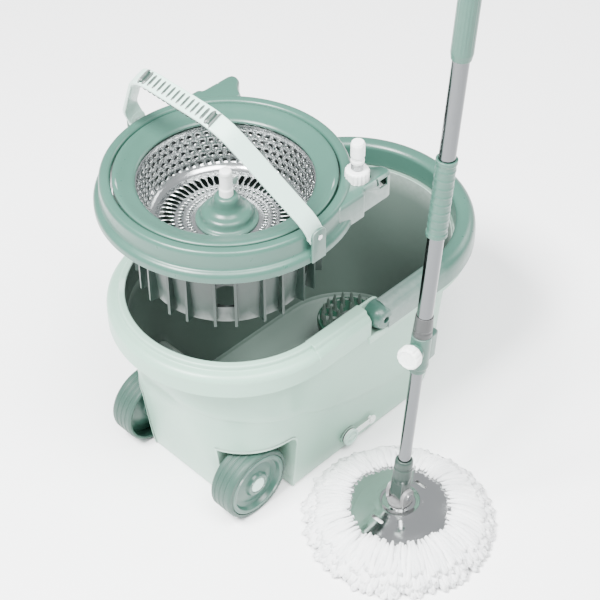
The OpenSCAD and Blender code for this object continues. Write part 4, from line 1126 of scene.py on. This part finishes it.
def build_stage():
    """A wide pale floor, a bright even surround, soft lights, and the camera."""
    p = bpy.context.scene.mop_stage
    side = np.linspace(-FLOOR_HALF, FLOOR_HALF, FLOOR_POINTS)
    x, y = np.meshgrid(side, side, indexing="ij")
    grid = np.stack([x, y, np.zeros_like(x)], -1)
    mesh = bpy.data.meshes.new("floor")
    mesh.from_pydata(grid.reshape(-1, 3).tolist(), [], lattice(FLOOR_POINTS, FLOOR_POINTS, False, False).tolist())
    floor = bpy.data.objects.new("floor", mesh)
    bpy.context.scene.collection.objects.link(floor)
    mesh.materials.append(floor_paint("floor_paint", p.floor))
    world = bpy.data.worlds.new("surround")
    world.use_nodes = True
    back = world.node_tree.nodes["Background"]
    back.inputs["Color"].default_value = rgba((0.94, 0.97, 1.0))
    back.inputs["Strength"].default_value = p.surround
    bpy.context.scene.world = world
    lamp("key_light", (-1.5, 0.2, 2.5), (0, 0, 0.2), p.key, 1.0, 0.8)
    lamp("top_light", (-0.3, -1.2, 2.9), (0, 0, 0.2), p.key * 0.6, 1.6, 1.6)
    lamp("side_light", (2.6, -0.6, 1.4), (0, 0, 0.25), p.key * 0.12, 1.2, 1.2)
    camera = bpy.data.cameras.new("camera")
    camera.sensor_width = 36
    camera.lens = p.lens
    camera.clip_end = 50
    eye = bpy.data.objects.new("camera", camera)
    eye.location = CAMERA_PLACE
    eye.rotation_euler = Vector(CAMERA_AIM).to_track_quat("-Z", "Y").to_euler()
    bpy.context.scene.collection.objects.link(eye)
    bpy.context.scene.camera = eye


# ---------------------------------------------------------------- settings, operators and panel


class MopColours(bpy.types.PropertyGroup):
    """Colours of the moulded parts and the fringe, in linear light."""

    tub: FloatVectorProperty(name="Tub", description="Colour of the tub", subtype="COLOR", default=(0.25, 0.42, 0.33))
    # Painted shade: a darker colour for the tub's inner faces, in place of the shade inside the tub.
    tub_inside_painted_shade: FloatVectorProperty(name="Tub inside", description="Colour of the tub's inner faces", subtype="COLOR",
                                    default=(0.095, 0.135, 0.115))
    green: FloatVectorProperty(name="Green", description="Colour of the collar, wheels and handles", subtype="COLOR",
                               default=(0.036, 0.096, 0.073))
    dark_green: FloatVectorProperty(name="Dark green", description="Colour of the cage and the grip", subtype="COLOR",
                                    default=(0.015, 0.032, 0.025))
    deep_green: FloatVectorProperty(name="Deep green", description="Colour of the washing disc", subtype="COLOR",
                                    default=(0.01, 0.055, 0.032))
    tread: FloatVectorProperty(name="Tread", description="Colour of the wheels' treads", subtype="COLOR",
                               default=(0.022, 0.06, 0.045))
    pale: FloatVectorProperty(name="Pale", description="Colour of the bail and the hub caps", subtype="COLOR",
                              default=(0.45, 0.64, 0.56))
    white: FloatVectorProperty(name="White", description="Colour of the white parts", subtype="COLOR",
                               default=(0.76, 0.79, 0.77))
    fibre: FloatVectorProperty(name="Fibre", description="Colour of the strands", subtype="COLOR",
                               default=(0.94, 0.94, 0.94))
    # Painted shade: a grey standing for shade between the strands, mixed in loop by loop.
    fibre_painted_shade: FloatVectorProperty(name="Fibre shade", description="Colour deep between the strands",
                                    subtype="COLOR", default=(0.6, 0.62, 0.63))


class MopSizes(bpy.types.PropertyGroup):
    """Sizes that shape the detail."""

    step: FloatProperty(name="Side step", description="Depth of the sweeping step in the tub's side, in millimetres",
                        default=1.9, min=0.2, max=2.0)
    hole_columns: IntProperty(name="Hole columns", description="Holes round the basket", default=60, min=30, max=90)
    hole_rows: IntProperty(name="Hole rows", description="Rows of holes up the basket's wall",
                           default=5, min=3, max=8)
    strands: IntProperty(name="Strands", description="Looped strands in each layer of the fringe",
                         default=84, min=40, max=120)
    strand_radius: FloatProperty(name="Strand radius", description="Radius of a strand, in millimetres", default=3.3,
                                 min=1.5, max=4.0)


class MopStage(bpy.types.PropertyGroup):
    """Camera, light and floor."""

    lens: FloatProperty(name="Lens", description="Focal length of the camera, in millimetres",
                        default=101.34, min=35, max=200)
    key: FloatProperty(name="Key light", description="Power of the main light",
                       default=330.0, min=5, max=900, unit="POWER")
    surround: FloatProperty(name="Surround", description="Brightness of the even surround",
                            default=0.85, min=0, max=4)
    floor: FloatVectorProperty(name="Floor", description="Colour of the floor", subtype="COLOR",
                               default=(0.93, 0.93, 0.93))


class MOP_OT_stage(bpy.types.Operator):
    """Sets up the floor, the surround, the lights and the camera"""

    bl_idname = "mop.stage"
    bl_label = "Stage"

    def execute(self, context):
        build_stage()
        return {"FINISHED"}


class MOP_OT_tub(bpy.types.Operator):
    """Builds the tub with its rim, ledge and wheel arches"""

    bl_idname = "mop.tub"
    bl_label = "Tub"

    def execute(self, context):
        build_tub()
        return {"FINISHED"}


class MOP_OT_carry_handle(bpy.types.Operator):
    """Builds the U-shaped carry handle"""

    bl_idname = "mop.carry_handle"
    bl_label = "Carry handle"

    def execute(self, context):
        build_carry_handle()
        return {"FINISHED"}


class MOP_OT_wheels(bpy.types.Operator):
    """Builds both wheels with their treads and caps"""

    bl_idname = "mop.wheels"
    bl_label = "Wheels"

    def execute(self, context):
        build_wheels()
        return {"FINISHED"}


class MOP_OT_wash_disc(bpy.types.Operator):
    """Builds the spiked washing disc"""

    bl_idname = "mop.wash_disc"
    bl_label = "Washing disc"

    def execute(self, context):
        build_wash_disc()
        return {"FINISHED"}


class MOP_OT_collar(bpy.types.Operator):
    """Builds the spinner's collar with its horns"""

    bl_idname = "mop.collar"
    bl_label = "Collar"

    def execute(self, context):
        build_collar()
        return {"FINISHED"}


class MOP_OT_basket(bpy.types.Operator):
    """Builds the perforated basket with its ring, centre and post"""

    bl_idname = "mop.basket"
    bl_label = "Basket"

    def execute(self, context):
        build_basket()
        return {"FINISHED"}


class MOP_OT_bail(bpy.types.Operator):
    """Builds the lifting handle and its ribbed grip"""

    bl_idname = "mop.bail"
    bl_label = "Lifting handle"

    def execute(self, context):
        build_bail()
        return {"FINISHED"}


class MOP_OT_soap_pump(bpy.types.Operator):
    """Builds the soap pump's nut, press head and spring"""

    bl_idname = "mop.soap_pump"
    bl_label = "Soap pump"

    def execute(self, context):
        build_soap_pump()
        return {"FINISHED"}


class MOP_OT_fringe(bpy.types.Operator):
    """Builds the looped strands of the mop head"""

    bl_idname = "mop.fringe"
    bl_label = "Fringe"

    def execute(self, context):
        build_fringe()
        return {"FINISHED"}


class MOP_OT_head_disc(bpy.types.Operator):
    """Builds the bright disc on the mop head"""

    bl_idname = "mop.head_disc"
    bl_label = "Head disc"

    def execute(self, context):
        build_head_disc()
        return {"FINISHED"}


class MOP_OT_pole(bpy.types.Operator):
    """Builds the pole's tubes, socket, sleeve, grip and cap"""

    bl_idname = "mop.pole"
    bl_label = "Pole"

    def execute(self, context):
        build_pole()
        return {"FINISHED"}


class MOP_OT_lock(bpy.types.Operator):
    """Builds the telescope's lock"""

    bl_idname = "mop.lock"
    bl_label = "Pole lock"

    def execute(self, context):
        build_lock()
        return {"FINISHED"}


class MOP_OT_kept(bpy.types.Operator):
    """Gives the mechanical parts that stay in view their finishes"""

    bl_idname = "mop.kept"
    bl_label = "Mechanical parts"

    def execute(self, context):
        finish_kept()
        return {"FINISHED"}


STEPS = (
    MOP_OT_stage,
    MOP_OT_tub,
    MOP_OT_carry_handle,
    MOP_OT_wheels,
    MOP_OT_wash_disc,
    MOP_OT_collar,
    MOP_OT_basket,
    MOP_OT_bail,
    MOP_OT_soap_pump,
    MOP_OT_fringe,
    MOP_OT_head_disc,
    MOP_OT_pole,
    MOP_OT_lock,
    MOP_OT_kept,
)


class MOP_PT_panel(bpy.types.Panel):
    """Lists the settings and the pieces"""

    bl_idname = "MOP_PT_panel"
    bl_label = "Spin Mop"
    bl_space_type = "VIEW_3D"
    bl_region_type = "UI"
    bl_category = "Spin Mop"

    def draw(self, context):
        scene = context.scene
        for group in (scene.mop_sizes, scene.mop_colours, scene.mop_stage):
            box = self.layout.box()
            for name in group.bl_rna.properties.keys():
                if name not in ("rna_type", "name"):
                    box.prop(group, name)
        for step in STEPS:
            self.layout.operator(step.bl_idname)


CLASSES = (MopColours, MopSizes, MopStage, *STEPS, MOP_PT_panel)


def register():
    for c in CLASSES:
        bpy.utils.register_class(c)
    bpy.types.Scene.mop_colours = PointerProperty(type=MopColours)
    bpy.types.Scene.mop_sizes = PointerProperty(type=MopSizes)
    bpy.types.Scene.mop_stage = PointerProperty(type=MopStage)


def unregister():
    del bpy.types.Scene.mop_stage
    del bpy.types.Scene.mop_sizes
    del bpy.types.Scene.mop_colours
    for c in reversed(CLASSES):
        bpy.utils.unregister_class(c)


def main():
    """Registers the add-on and builds everything in order."""
    register()
    for step in STEPS:
        area, name = step.bl_idname.split(".")
        getattr(getattr(bpy.ops, area), name)()
    bpy.context.view_layer.update()


if __name__ == "__main__":
    main()
